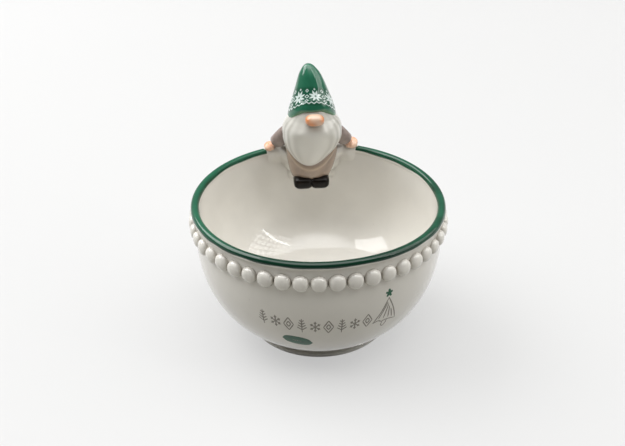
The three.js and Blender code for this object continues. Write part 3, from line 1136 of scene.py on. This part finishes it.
HAT_PROFILE = np.array(
    [
        (104.7, 13.3),
        (105.2, 14.3),
        (106.2, 14.6),
        (108.4, 14.35),
        (111.6, 13.6),
        (116.2, 12.05),
        (122.0, 9.9),
        (127.5, 7.95),
        (131.6, 6.2),
        (134.8, 4.1),
        (136.5, 2.5),
        (137.25, 1.1),
    ]
)
HEM_ARCH = 8.4
FLAKES = 7  # stitched snow crystals round the hat
FLAKE_LEVEL = 114.6
FLAKE_PHASE = 9.5  # degrees from the front to the first of them


def hat_rule(x, y, z):
    """Arches the hem over the nose and leans the tip, as the clay hat does."""
    low, high = HAT_PROFILE[0][0], HAT_TIP
    along = (z - low) / (high - low)
    front = np.clip(-y / 12.9, 0, 1)
    z = z + (HEM_ARCH * front * front + 0.04 * x) * np.clip(1 - along, 0, 2)
    x = x + 0.4 - 1.6 * along**3
    y = y * 0.96 + GNOME_Y + 2 * along
    return x, y, z


def stroke_distance(u, v, strokes):
    """Distance from points (u, v) to the nearest of some straight strokes."""
    best = np.full(u.shape, 1e3)
    for (x0, y0), (x1, y1) in strokes:
        dx, dy = x1 - x0, y1 - y0
        t = np.clip(((u - x0) * dx + (v - y0) * dy) / (dx * dx + dy * dy), 0, 1)
        best = np.minimum(best, np.hypot(u - x0 - t * dx, v - y0 - t * dy))
    return best


def petal_distance(u, v, inner, outer, half):
    """Distance outside eight filled petals round the origin, negative inside them."""
    radius = np.hypot(u, v)
    turn = np.arctan2(v, u)
    step = np.pi / 4
    off = turn - step * (np.floor(turn / step) + 0.5)
    along = radius * np.cos(off)
    aside = np.abs(radius * np.sin(off))
    t = np.clip((along - inner) / (outer - inner), 0, 1)
    wide = half * np.sin(np.pi * t**0.8)
    return np.where((along > inner) & (along < outer), aside - wide, np.maximum(aside, 0.6))


def knit_strokes(pitch):
    """The small lozenges between two crystals, as strokes in mm from the crystal's middle."""
    strokes = []
    half = pitch / 2
    for x, y, r in ((half, 0, 1.25), (half, 4.3, 1.0), (half, -3.6, 1.0), (0, 5.3, 0.5)):
        corners = [(x + r, y), (x, y + r), (x - r, y), (x, y - r)]
        strokes += [(corners[i], corners[(i + 1) % 4]) for i in range(4)]
    return strokes


class GNOMEBOWL_OT_hat(bpy.types.Operator):
    """Form the hollow hat and stitch its pattern"""

    bl_idname = "gnomebowl.hat"
    bl_label = "Hat"

    def execute(self, context):
        width = context.scene.gnomebowl_sizes.knit_width / MM
        cols = 448
        turns = np.linspace(-np.pi, np.pi, cols, endpoint=False)
        profile = smooth_line(HAT_PROFILE, 400)
        order = np.concatenate(
            [
                np.linspace(104.7, 106.4, 9)[:-1],
                np.linspace(106.4, 122.5, 92)[:-1],
                np.linspace(122.5, 134.0, 34)[:-1],
                np.linspace(134.0, 137.2, 14),
            ]
        )
        radii = np.interp(order, profile[:, 0], profile[:, 1])
        # Inside: from under the hem up to the hollow's top.
        inner_z = np.array([119.5, 117.0, 112.0, 107.0, 105.2, 104.55, 104.5])
        inner_r = np.array([2.0, 6.0, 10.0, 12.0, 12.25, 12.4, 12.7])
        all_z = np.concatenate([inner_z, order])
        all_r = np.concatenate([inner_r, radii])
        theta, z = np.meshgrid(turns, all_z)
        r = np.repeat(all_r[:, None], cols, axis=1)
        outer = np.zeros(len(all_z))
        outer[len(inner_z) :] = 1
        uneven = 0.14 * waves(theta * 9, 21, 30) * waves(z, 22, 14)
        r = r + uneven * outer[:, None]
        x, y, high = hat_rule(r * np.sin(theta), -r * np.cos(theta), z)
        rings = np.dstack([x, y, high])
        inside_top = hat_rule(np.array(0.0), np.array(0.0), np.array(120.2))
        tip = hat_rule(np.array(0.0), np.array(0.0), np.array(HAT_TIP))
        shape = closed_loft(rings, [float(v) for v in inside_top], [float(v) for v in tip])
        layers = {}
        for name, layer in zip(("knit", "band", "hem"), self.pattern(theta, z, width)):
            layers[name] = np.append(layer * outer[:, None], [0, 0])
        clay("hat_knit", shape, "hat", "hat_green", "hat", **layers)
        return {"FINISHED"}

    def pattern(self, theta, z, width):
        """White stitches, the darker band behind them and the thin hem, each from 0 to 1."""
        pitch = 2 * np.pi * 11.9 / FLAKES
        turn = (theta - math.radians(FLAKE_PHASE)) / (2 * np.pi) * FLAKES
        u = (turn - np.round(turn)) * pitch
        # The stitched rows rise towards the front even more than the hem does.
        level = z - 3.6 * np.clip(np.cos(theta + 0.26), 0, 1) ** 0.7
        v = level - FLAKE_LEVEL
        strokes = knit_strokes(pitch)
        gap = np.minimum(stroke_distance(u, v, strokes), stroke_distance(u + pitch, v, strokes))
        gap = gap * 1.25
        gap = np.minimum(gap, petal_distance(u, v * 0.9, 0.5, 4.3, 0.62) + width * 0.4)
        # The zigzag near the hem: four points to a crystal.
        saw = (theta - math.radians(FLAKE_PHASE)) / (2 * np.pi) * FLAKES * 4
        rise = np.abs(saw - np.floor(saw) - 0.5) * 2
        zig = np.abs(level - (108.2 + 1.2 * rise)) * 0.72
        line = np.minimum(gap, zig)
        knit = 1 - smoothstep(width * 0.38, width * 0.7, line)
        speckle = 0.84 + 0.16 * waves(theta * 60, 31, 3.1) * waves(z * 5, 32, 3.3)
        band = smoothstep(106.2, 107.4, level) * (1 - smoothstep(120.4, 122.2, level))
        hem = (1 - smoothstep(105.0, 107.0, z)) * (0.45 + 0.55 * np.abs(np.sin(theta)) ** 1.5)
        return knit * speckle, 0.75 * band, hem


def beard_outline():
    """Rows of the beard: height, half width, front depth, and the row's centre line."""
    rows = [
        (77.9, 1.0, 1.2, 46.2),
        (78.3, 2.9, 2.8, 46.0),
        (79.4, 5.2, 4.8, 46.0),
        (81.5, 8.3, 7.2, 46.8),
        (84.6, 12.0, 9.4, 48.4),
        (88.4, 15.5, 11.6, 50.3),
        (92.6, 17.5, 13.6, 52.2),
        (96.8, 18.0, 15.2, 53.6),
        (100.6, 17.8, 15.9, 54.6),
        (104.0, 16.4, 15.4, 55.2),
        (107.0, 14.4, 14.4, 55.4),
        (110.6, 12.6, 13.7, 55.6),
        (113.2, 11.2, 12.7, 55.8),
        (115.2, 9.6, 10.6, 56.0),
    ]
    return smooth_line(rows, 110)


class GNOMEBOWL_OT_beard(bpy.types.Operator):
    """Comb the beard and the hair on the back of the head"""

    bl_idname = "gnomebowl.beard"
    bl_label = "Beard and head"

    def execute(self, context):
        self.beard()
        self.head()
        return {"FINISHED"}

    def beard(self):
        cols = 220
        turns = np.linspace(-np.pi, np.pi, cols, endpoint=False)
        rows = beard_outline()
        theta, z = np.meshgrid(turns, rows[:, 0])
        wide = rows[:, 1][:, None]
        deep = rows[:, 2][:, None]
        centre = rows[:, 3][:, None]
        front = np.cos(theta) > 0
        depth = np.where(front, deep, np.minimum(deep, 4.0))
        x = wide * np.sin(theta)
        y = centre - depth * np.cos(theta)
        # Strands run down the cheeks and draw together at the point; the middle is smooth.
        share = np.clip((rows[:, 0][:, None] - 78) / 34, 0, 1)
        shown = np.where(front, 1.0, 0.0)
        drawn = 0.72 + 0.28 * np.sin(np.pi * np.clip(share * 1.05, 0, 1)) ** 0.6
        # Each groove's turn from the middle, its width as a turn, and its depth.
        grooves = ((0.62, 0.14, 0.5), (0.95, 0.085, 0.75), (1.24, 0.085, 1.0), (1.47, 0.085, 0.8))
        groove = np.zeros_like(theta)
        for side in (-1, 1):
            for number, (at, width, deepness) in enumerate(grooves):
                line = side * at * drawn + 0.03 * waves(z, 70 + number + 4 * side, 12)
                groove = groove + deepness * np.exp(-(((theta - line) / width) ** 2))
        fade = smoothstep(0.03, 0.2, share) * (1 - 0.6 * smoothstep(0.72, 0.95, share)) * shown
        groove = np.clip(groove * fade * (0.8 + 0.2 * waves(theta * 14, 41, 9)), 0, 1)
        cut = 0.5 * groove
        # A fuller lock down the middle, and the moustache's two soft mounds beside the nose.
        swell = 0.5 * np.exp(-((theta / 0.55) ** 2)) * smoothstep(80, 88, z) * shown
        for side in (-1, 1):
            mound = -(((x - side * 7.6) / 4.4) ** 2) - (((z - 103.2 + 0.3 * np.abs(x)) / 2.8) ** 2)
            swell = swell + 0.75 * np.exp(mound) * shown
        # Both go mostly towards the front, not square to the surface, so the side grooves are weak.
        push = swell - cut
        nx = np.sin(theta) / wide
        ny = -np.cos(theta) / 0.8
        norm = np.hypot(nx, ny)
        x = x + push * nx / norm
        y = y + push * ny / norm
        x = x + 0.35 - 2.5 * (1 - smoothstep(77, 96, z))
        shape = closed_loft(np.dstack([x, y, z]))
        # The grooves are painted grey as well as cut: painted shade in them.
        groove = np.append(groove, [0, 0])
        clay("beard_combed", shape, "beard", "beard_white", "beard", groove=groove)

    def head(self):
        cols = 160
        turns = np.linspace(-np.pi, np.pi, cols, endpoint=False)
        rows = smooth_line(
            [(89.6, 10.5), (90.4, 13.0), (93.4, 15.0), (97.0, 15.9), (100.6, 15.4)]
            + [(104.0, 13.6), (107.0, 11.4), (111.0, 8.8), (114.8, 5.0), (116.4, 2.0)],
            70,
        )
        theta, z = np.meshgrid(turns, rows[:, 0])
        r = rows[:, 1][:, None] + 0 * theta
        strands = np.cos(22 * theta + 0.8 * np.sin(z / 3.0))
        groove = np.clip(0.5 - 0.5 * strands, 0, 1) ** 2.2 * smoothstep(90, 92, z)
        r = r - 0.42 * groove * np.where(np.cos(theta) < 0.1, 1.0, 0.3)
        rings = np.dstack([r * np.sin(theta), GNOME_Y - 0.95 * r * np.cos(theta), z])
        # The hair's grooves are painted grey too: painted shade in them.
        groove = np.append(groove * 0.8, [0, 0])
        clay("head_hair", closed_loft(rings), "beard", "beard_white", "head", groove=groove)


class GNOMEBOWL_OT_nose(bpy.types.Operator):
    """Press on the wide nose"""

    bl_idname = "gnomebowl.nose"
    bl_label = "Nose"

    def execute(self, context):
        centre, half = (1.2, 40.6, 109.2), (5.6, 4.0, 3.3)
        rings, ends = soft_block(centre, half, 2.6, 2.3)
        points, faces = closed_loft(rings, *ends)
        # A little fuller below.
        points[:, 1] -= 0.6 * (1 - smoothstep(106.5, 111.5, points[:, 2]))
        # Three touches of the brush: one at each upper corner, and one low on the left.
        across = (points[:, 0] - centre[0]) / half[0]
        up = (points[:, 2] - centre[2]) / half[2]
        blush = np.zeros(len(points))
        for u, v, wide, tall in (
            (-0.85, 0.45, 0.32, 0.6),
            (0.85, 0.4, 0.28, 0.6),
            (-0.35, -0.5, 0.5, 0.6),
        ):
            blush += np.exp(-(((across - u) / wide) ** 2) - ((up - v) / tall) ** 2)
        blush = np.minimum(blush, 1)
        clay("nose_pressed", (points, faces), "nose", "skin_peach", "nose", blush=blush)
        return {"FINISHED"}


def soft_block(centre, half, round_flat=2.6, round_up=2.4, rows=44, cols=72):
    """Rings of a rounded block: 2 is an ellipsoid, and more is squarer."""
    up = np.linspace(-np.pi / 2, np.pi / 2, rows + 2)[1:-1]
    turns = np.linspace(-np.pi, np.pi, cols, endpoint=False)
    t, a = np.meshgrid(turns, up)

    def bent(value, power):
        return np.sign(value) * np.abs(value) ** (2 / power)

    level = bent(np.cos(a), round_up)
    x = centre[0] + half[0] * level * bent(np.sin(t), round_flat)
    y = centre[1] - half[1] * level * bent(np.cos(t), round_flat)
    z = centre[2] + half[2] * bent(np.sin(a), round_up)
    ends = [(centre[0], centre[1], centre[2] + way * half[2]) for way in (-1, 1)]
    return np.dstack([x, y, z]), ends


class GNOMEBOWL_OT_tunic(bpy.types.Operator):
    """Form the tunic, with the soft fold under the beard"""

    bl_idname = "gnomebowl.tunic"
    bl_label = "Tunic"

    def execute(self, context):
        cols = 200
        turns = np.linspace(-np.pi, np.pi, cols, endpoint=False)
        rows = smooth_line(TUNIC_PROFILE, 120)
        theta, z = np.meshgrid(turns, rows[:, 0])
        wide = rows[:, 1][:, None] + 0 * theta
        deep = rows[:, 2][:, None] + 0 * theta
        front = np.clip(np.cos(theta), 0, 1)
        x = wide * np.sin(theta)
        # A fold follows the beard's edge, a little below it.
        edge = 75.2 + 0.048 * np.abs(x + 1.2) ** 2.05
        fold = 0.75 * np.exp(-(((z - edge) / 1.5) ** 2)) * front**0.5
        folds = 0.22 * waves(theta * 8, 61, 7) * (1 - smoothstep(70, 84, z))
        hem = 0.3 * np.exp(-(((z - 66.4) / 0.9) ** 2))
        push = fold + folds + hem
        # The hem rises towards the sides, over the boots.
        drop = smoothstep(72, 65, z)
        lift = drop * (0.1 * np.sin(theta * 2) + 0.5 * np.abs(np.sin(theta)))
        y = GNOME_Y - (deep + push) * np.cos(theta)
        x = (wide + push) * np.sin(theta) - 0.9 * (1 - smoothstep(64, 84, z))
        rings = np.dstack([x, y, z + lift])
        # It is seated against the wall and over the lip.
        reach = np.hypot(rings[:, :, 0], rings[:, :, 1])
        limit = np.where(rings[:, :, 2] < RIM_TOP + 1.5, RIM_RADIUS - 5.2, RIM_RADIUS - 0.6)
        scale = np.minimum(1, limit / reach)
        rings[:, :, 0] *= scale
        rings[:, :, 1] *= scale
        points, faces = closed_loft(rings)
        # The fold's crest is painted paler: a painted highlight.
        thin = np.append(0.8 * np.exp(-(((z - edge) / 1.3) ** 2)) * front, [0, 0])
        clay("tunic_draped", (points, faces), "tunic", "tunic_beige", "tunic", fold=thin)
        return {"FINISHED"}


class GNOMEBOWL_OT_sleeves(bpy.types.Operator):
    """Roll both sleeves from the shoulders down to the cuffs"""

    bl_idname = "gnomebowl.sleeves"
    bl_label = "Sleeves"

    def execute(self, context):
        for name, side in (("left", -1), ("right", 1)):
            shape = closed_loft(self.rings(side))
            clay(name + "_sleeve_rolled", shape, "sleeve", "sleeve_taupe", name + "_sleeve")
        return {"FINISHED"}

    def rings(self, side):
        """Flattened rings along a bent centre line, with a lip at the cuff."""
        path = smooth_line(
            [(10.0, 56.6, 97.6), (14.2, 57.2, 94.6), (18.4, 58.8, 90.6), (22.6, 61.0, 86.6)], 44
        )
        size = smooth_line([(4.8, 4.2), (5.3, 4.9), (5.0, 4.8), (4.0, 4.2)], 44)
        turns = np.linspace(0, 2 * np.pi, 48, endpoint=False)
        rings = []
        ahead = np.gradient(path, axis=0)
        for i, (middle, (tall, deep)) in enumerate(zip(path, size)):
            axis = Vector(ahead[i]).normalized()
            depth = Vector((0.12, 1.0, 0.1))
            depth = (depth - axis * depth.dot(axis)).normalized()
            up = axis.cross(depth).normalized()
            share = i / (len(path) - 1)
            crease = 0.3 * math.cos(share * 15) * smoothstep(0.25, 0.6, share)
            ends = min(1.0, math.sqrt(max(0.02, 1 - max(0, (share - 0.94) / 0.062) ** 2)))
            ring = []
            for t in turns:
                c, s = math.cos(t), math.sin(t)
                swell = crease * max(0, -s) + 0.15 * math.cos(3 * t + 2 * share)
                p = Vector(middle) + up * (c * (tall * ends + swell))
                p = p + depth * (s * (deep * ends + swell))
                ring.append((side * p.x, p.y, p.z))
            rings.append(ring)
        return np.array(rings)


class GNOMEBOWL_OT_hands(bpy.types.Operator):
    """Model both hands, with the fingers over the rim"""

    bl_idname = "gnomebowl.hands"
    bl_label = "Hands"

    def execute(self, context):
        for name, side in (("left", -1), ("right", 1)):
            half = (3.3, 4.0, 2.6) if side < 0 else (4.2, 4.4, 3.3)
            rings, ends = soft_block((0, 0, 0), half, 2.3, 2.2, 56, 120)
            points, faces = closed_loft(rings, *ends)
            x, y, z = points[:, 0].copy(), points[:, 1].copy(), points[:, 2].copy()
            # Three grooves part four fingers on the front and over the knuckles.
            ahead = smoothstep(1.5, -2.5, y)
            groove = 0
            for at in (-2.3, 0.0, 2.3):
                groove = groove + np.exp(-(((x - at) / 0.5) ** 2))
            points[:, 1] += 0.28 * groove * ahead
            points[:, 2] -= 0.16 * groove * ahead * smoothstep(0, 2.5, z)
            # The fingers slope down over the lip.
            points[:, 2] -= 0.9 * smoothstep(0, -4.5, y) * smoothstep(-4, 4, z)
            # It leans outwards, and then turns towards the bowl's middle.
            for degrees, axis in ((-12, 2), (-20, 1)):
                angle = side * math.radians(degrees)
                c, s = math.cos(angle), math.sin(angle)
                u, v = points[:, 0].copy(), points[:, axis].copy()
                points[:, 0], points[:, axis] = u * c - v * s, u * s + v * c
            centre = (side * HAND_X - 0.3, 62.8, 83.6 if side > 0 else 83.2)
            shape = points + np.array(centre), faces
            clay(name + "_hand_gripping", shape, "skin", "skin_peach", name + "_hand")
        return {"FINISHED"}


class GNOMEBOWL_OT_boots(bpy.types.Operator):
    """Form both boots, side by side"""

    bl_idname = "gnomebowl.boots"
    bl_label = "Boots"

    def execute(self, context):
        seam = -0.8
        for name, side in (("left", -1), ("right", 1)):
            centre = np.array([side * 5.0 + seam, 50.6, 65.0])
            rings, ends = soft_block(centre, (6.0, 7.4, 4.2), 4.0, 2.9, 56, 96)
            points, faces = closed_loft(rings, *ends)
            # The inner faces lie flat against each other, and a sole line runs round.
            inner = side * (points[:, 0] - seam)
            points[:, 0] = side * np.maximum(inner, 0.05) + seam
            sole = np.exp(-(((points[:, 2] - 62.3) / 0.35) ** 2))
            points[:, :2] -= 0.04 * sole[:, None] * (points - centre)[:, :2]
            shape = points, faces
            clay(name + "_boot_formed", shape, "boot", "boot_black", name + "_boot")
        return {"FINISHED"}


# ---- Stage ----


def direction(azimuth, elevation):
    """A direction from the bowl: azimuth 0 is in front of it and 90 on its right."""
    a, e = math.radians(azimuth), math.radians(elevation)
    return Vector((math.sin(a) * math.cos(e), -math.cos(a) * math.cos(e), math.sin(e)))


# The camera's place, the way it looks, its upright and its focal length in millimetres.
EYE = Vector((-25.60, -385.46, 295.50)) * MM
LOOK = Vector((0.04945, 0.85606, -0.51450))
UP = Vector((0.04416, 0.51276, 0.85740))
LENS = 45.73

FLOOR_HALF = 4000  # half the floor's side
BACKDROP_RADIUS = 5000
LAMP_DISTANCE = 2.2  # metres from the bowl
PANE = 0.36  # half a pane, as a share of the window's pitch
SQUARE = ((-1, -1), (1, -1), (1, 1), (-1, 1))


def glowing(name, rgb, strength):
    """A material that only gives light."""
    material = bpy.data.materials.new(name)
    material.use_nodes = True
    tree = material.node_tree
    glow = add(tree, "ShaderNodeEmission", {"Color": rgb, "Strength": strength})
    tree.links.new(glow.outputs[0], tree.nodes["Material Output"].inputs["Surface"])
    return material


class GNOMEBOWL_OT_stage(bpy.types.Operator):
    """Set the floor, the camera, the surrounding light and the lamps"""

    bl_idname = "gnomebowl.stage"
    bl_label = "Stage"

    def execute(self, context):
        settings = context.scene.gnomebowl_stage
        self.floor(settings)
        self.backdrop()
        self.camera(context.scene)
        self.sky(context.scene, settings)
        aim = Vector((0, 0, 0.06))
        self.window(settings.window, aim)
        # Name, azimuth, elevation, width and height in metres, share of the softbox's strength.
        for name, azimuth, elevation, size, share in (
            ("left_softbox", -116, 46, (2.3, 1.5), 1.0),
            ("front_softbox", 0, 68, (1.6, 1.0), 0.08),
            ("hat_strip", 64, 42, (0.07, 2.0), 1.6),
        ):
            way = direction(azimuth, elevation)
            self.lamp(name, way, size, share * settings.softbox, aim)
        return {"FINISHED"}

    def floor(self, settings):
        """Two sheets: a pale one that glows is seen, and a greyer, warmer one lights the bowl."""
        for name, tone, glow, lift in (
            ("floor", settings.floor_tone, settings.floor_glow, -0.02),
            ("bounce", settings.bounce, 0.0, -0.06),
        ):
            material = bpy.data.materials.new("matt white plastic, " + name)
            material.use_nodes = True
            tree = material.node_tree
            shader = tree.nodes["Principled BSDF"]
            shader.inputs["Roughness"].default_value = 0.9
            shader.inputs["Specular IOR Level"].default_value = 0.1
            shader.inputs["Emission Strength"].default_value = glow
            place = add(tree, "ShaderNodeTexCoord").outputs["Object"]
            soft = patches(tree, place, 400, 0.3, 0.7, 1.0)
            pale = shade_of(settings.floor, tone)
            if name == "bounce":
                pale = [pale[0], pale[1] * 0.97, pale[2] * 0.87, 1.0]
            blend = {0: soft, 6: pale, 7: shade_of(pale, 0.99)}
            mottled = add(tree, "ShaderNodeMix", blend, data_type="RGBA").outputs[2]
            tree.links.new(mottled, shader.inputs["Base Color"])
            corners = [(x * FLOOR_HALF, y * FLOOR_HALF, lift) for x, y in SQUARE]
            sheet = mesh_piece(name, corners, [(0, 1, 2, 3)], material, smooth=False)
            # The seen sheet also shows in reflections. Only the other one sends diffuse light.
            seen = name == "floor"
            sheet.visible_camera = seen
            sheet.visible_shadow = not seen
            sheet.visible_diffuse = not seen
            sheet.visible_glossy = seen

    def backdrop(self):
        """A plain pale dome round the room, seen by the camera and lighting nothing."""
        tilt = np.radians(np.linspace(-90, 90, 13))[1:-1, None]
        turn = np.linspace(0, 2 * np.pi, 48, endpoint=False)[None, :]
        rings = np.dstack(
            [np.cos(tilt) * np.cos(turn), np.cos(tilt) * np.sin(turn), np.sin(tilt) + 0 * turn]
        )
        ends = (0, 0, -BACKDROP_RADIUS), (0, 0, BACKDROP_RADIUS)
        points, faces = closed_loft(BACKDROP_RADIUS * rings, *ends)
        material = glowing("plain pale backdrop", (0.79, 0.79, 0.785, 1), 1.0)
        dome = mesh_piece("backdrop", points, faces, material)
        for ray in ("diffuse", "glossy", "transmission", "shadow"):
            setattr(dome, "visible_" + ray, False)

    def camera(self, scene):
        """The camera, by its place, its view and its upright."""
        lens = bpy.data.cameras.new("camera")
        lens.lens = LENS
        lens.sensor_width = 36
        lens.clip_start = 0.01
        lens.clip_end = 20
        view = bpy.data.objects.new("camera", lens)
        scene.collection.objects.link(view)
        back = -LOOK.normalized()
        side = UP.cross(back).normalized()
        up = back.cross(side)
        turn = Matrix((side, up, back)).transposed()
        view.matrix_world = Matrix.Translation(EYE) @ turn.to_4x4()
        scene.camera = view
        scene.view_settings.view_transform = "Standard"
        scene.view_settings.look = "None"

    def sky(self, scene, settings):
        """A dim room below a pale round ceiling."""
        world = bpy.data.worlds.new("studio")
        scene.world = world
        world.use_nodes = True
        tree = world.node_tree
        way = add(tree, "ShaderNodeTexCoord").outputs["Generated"]
        parts = add(tree, "ShaderNodeSeparateXYZ", {0: way})
        # Each part of the room: its axis, where it starts and ends, and its own tone.
        tone = [0.14, 0.14, 0.14, 1]
        for axis, start, stop, level in (
            ("Y", 0.1, 0.6, 0.3),
            ("Y", -0.1, -0.5, 0.03),
            ("Z", 0.80, 0.95, 3.45),
        ):
            step = {"Value": parts.outputs[axis], "From Min": start, "From Max": stop}
            share = add(tree, "ShaderNodeMapRange", step, interpolation_type="SMOOTHSTEP")
            blend = {0: share.outputs["Result"], 6: tone, 7: [level, level, level, 1]}
            tone = add(tree, "ShaderNodeMix", blend, data_type="RGBA").outputs[2]
        back = tree.nodes["Background"]
        tree.links.new(tone, back.inputs["Color"])
        back.inputs["Strength"].default_value = settings.sky

    def window(self, strength, aim):
        """A tall window of small panes on the right: it lights the bowl and shines in its glaze."""
        material = glowing("window panes", (1, 0.99, 0.97, 1), strength)
        way = direction(92, 40)
        middle = aim + way * LAMP_DISTANCE
        side = Vector((0, 0, 1)).cross(way).normalized()
        up = way.cross(side)
        across, rows = 8, 10
        wide, tall = 2.1 / across, 2.2 / rows
        points, faces = [], []
        for i in range(across):
            for j in range(rows):
                at = middle + side * (i - (across - 1) / 2) * wide
                at = at + up * (j - (rows - 1) / 2) * tall
                start = len(points)
                for a, b in SQUARE:
                    corner = at + side * a * wide * PANE + up * b * tall * PANE
                    points.append(corner / MM)
                faces.append(tuple(range(start, start + 4)))
        panes = mesh_piece("window_panes", points, faces, material, smooth=False)
        panes.visible_camera = False

    def lamp(self, name, way, size, strength, aim):
        """A soft rectangular lamp that shines from one direction."""
        light = bpy.data.lights.new(name, "AREA")
        light.shape = "RECTANGLE"
        light.size, light.size_y = size
        light.energy = strength * size[0] * size[1] * math.pi
        lamp = bpy.data.objects.new(name, light)
        bpy.context.scene.collection.objects.link(lamp)
        lamp.location = aim + way * LAMP_DISTANCE
        lamp.rotation_euler = way.to_track_quat("Z", "Y").to_euler()


# ---- Panel and registration ----

PIECES = (
    GNOMEBOWL_OT_stage,
    GNOMEBOWL_OT_wall,
    GNOMEBOWL_OT_foot,
    GNOMEBOWL_OT_rim,
    GNOMEBOWL_OT_beads,
    GNOMEBOWL_OT_saddle,
    GNOMEBOWL_OT_prints,
    GNOMEBOWL_OT_tunic,
    GNOMEBOWL_OT_boots,
    GNOMEBOWL_OT_sleeves,
    GNOMEBOWL_OT_hands,
    GNOMEBOWL_OT_beard,
    GNOMEBOWL_OT_nose,
    GNOMEBOWL_OT_hat,
)
GROUPS = {
    "gnomebowl_sizes": GNOMEBOWL_PG_sizes,
    "gnomebowl_colours": GNOMEBOWL_PG_colours,
    "gnomebowl_stage": GNOMEBOWL_PG_stage,
}


class GNOMEBOWL_PT_panel(bpy.types.Panel):
    """Sizes, colours and one button for each piece."""

    bl_idname = "GNOMEBOWL_PT_panel"
    bl_label = "Gnome bowl"
    bl_space_type = "VIEW_3D"
    bl_region_type = "UI"
    bl_category = "Gnome bowl"

    def draw(self, context):
        for group in GROUPS:
            values = getattr(context.scene, group)
            column = self.layout.column(align=True)
            for key in values.__annotations__:
                column.prop(values, key)
        for piece in PIECES:
            self.layout.operator(piece.bl_idname)


CLASSES = (*GROUPS.values(), *PIECES, GNOMEBOWL_PT_panel)


def register():
    """Adds the classes and the settings to Blender."""
    for part in CLASSES:
        bpy.utils.register_class(part)
    for name, group in GROUPS.items():
        setattr(bpy.types.Scene, name, bpy.props.PointerProperty(type=group))


def unregister():
    """Takes them away again."""
    for name in GROUPS:
        delattr(bpy.types.Scene, name)
    for part in reversed(CLASSES):
        bpy.utils.unregister_class(part)


def main():
    """Builds every piece and the stage."""
    register()
    for piece in PIECES:
        group, call = piece.bl_idname.split(".")
        getattr(getattr(bpy.ops, group), call)()


if __name__ == "__main__":
    main()
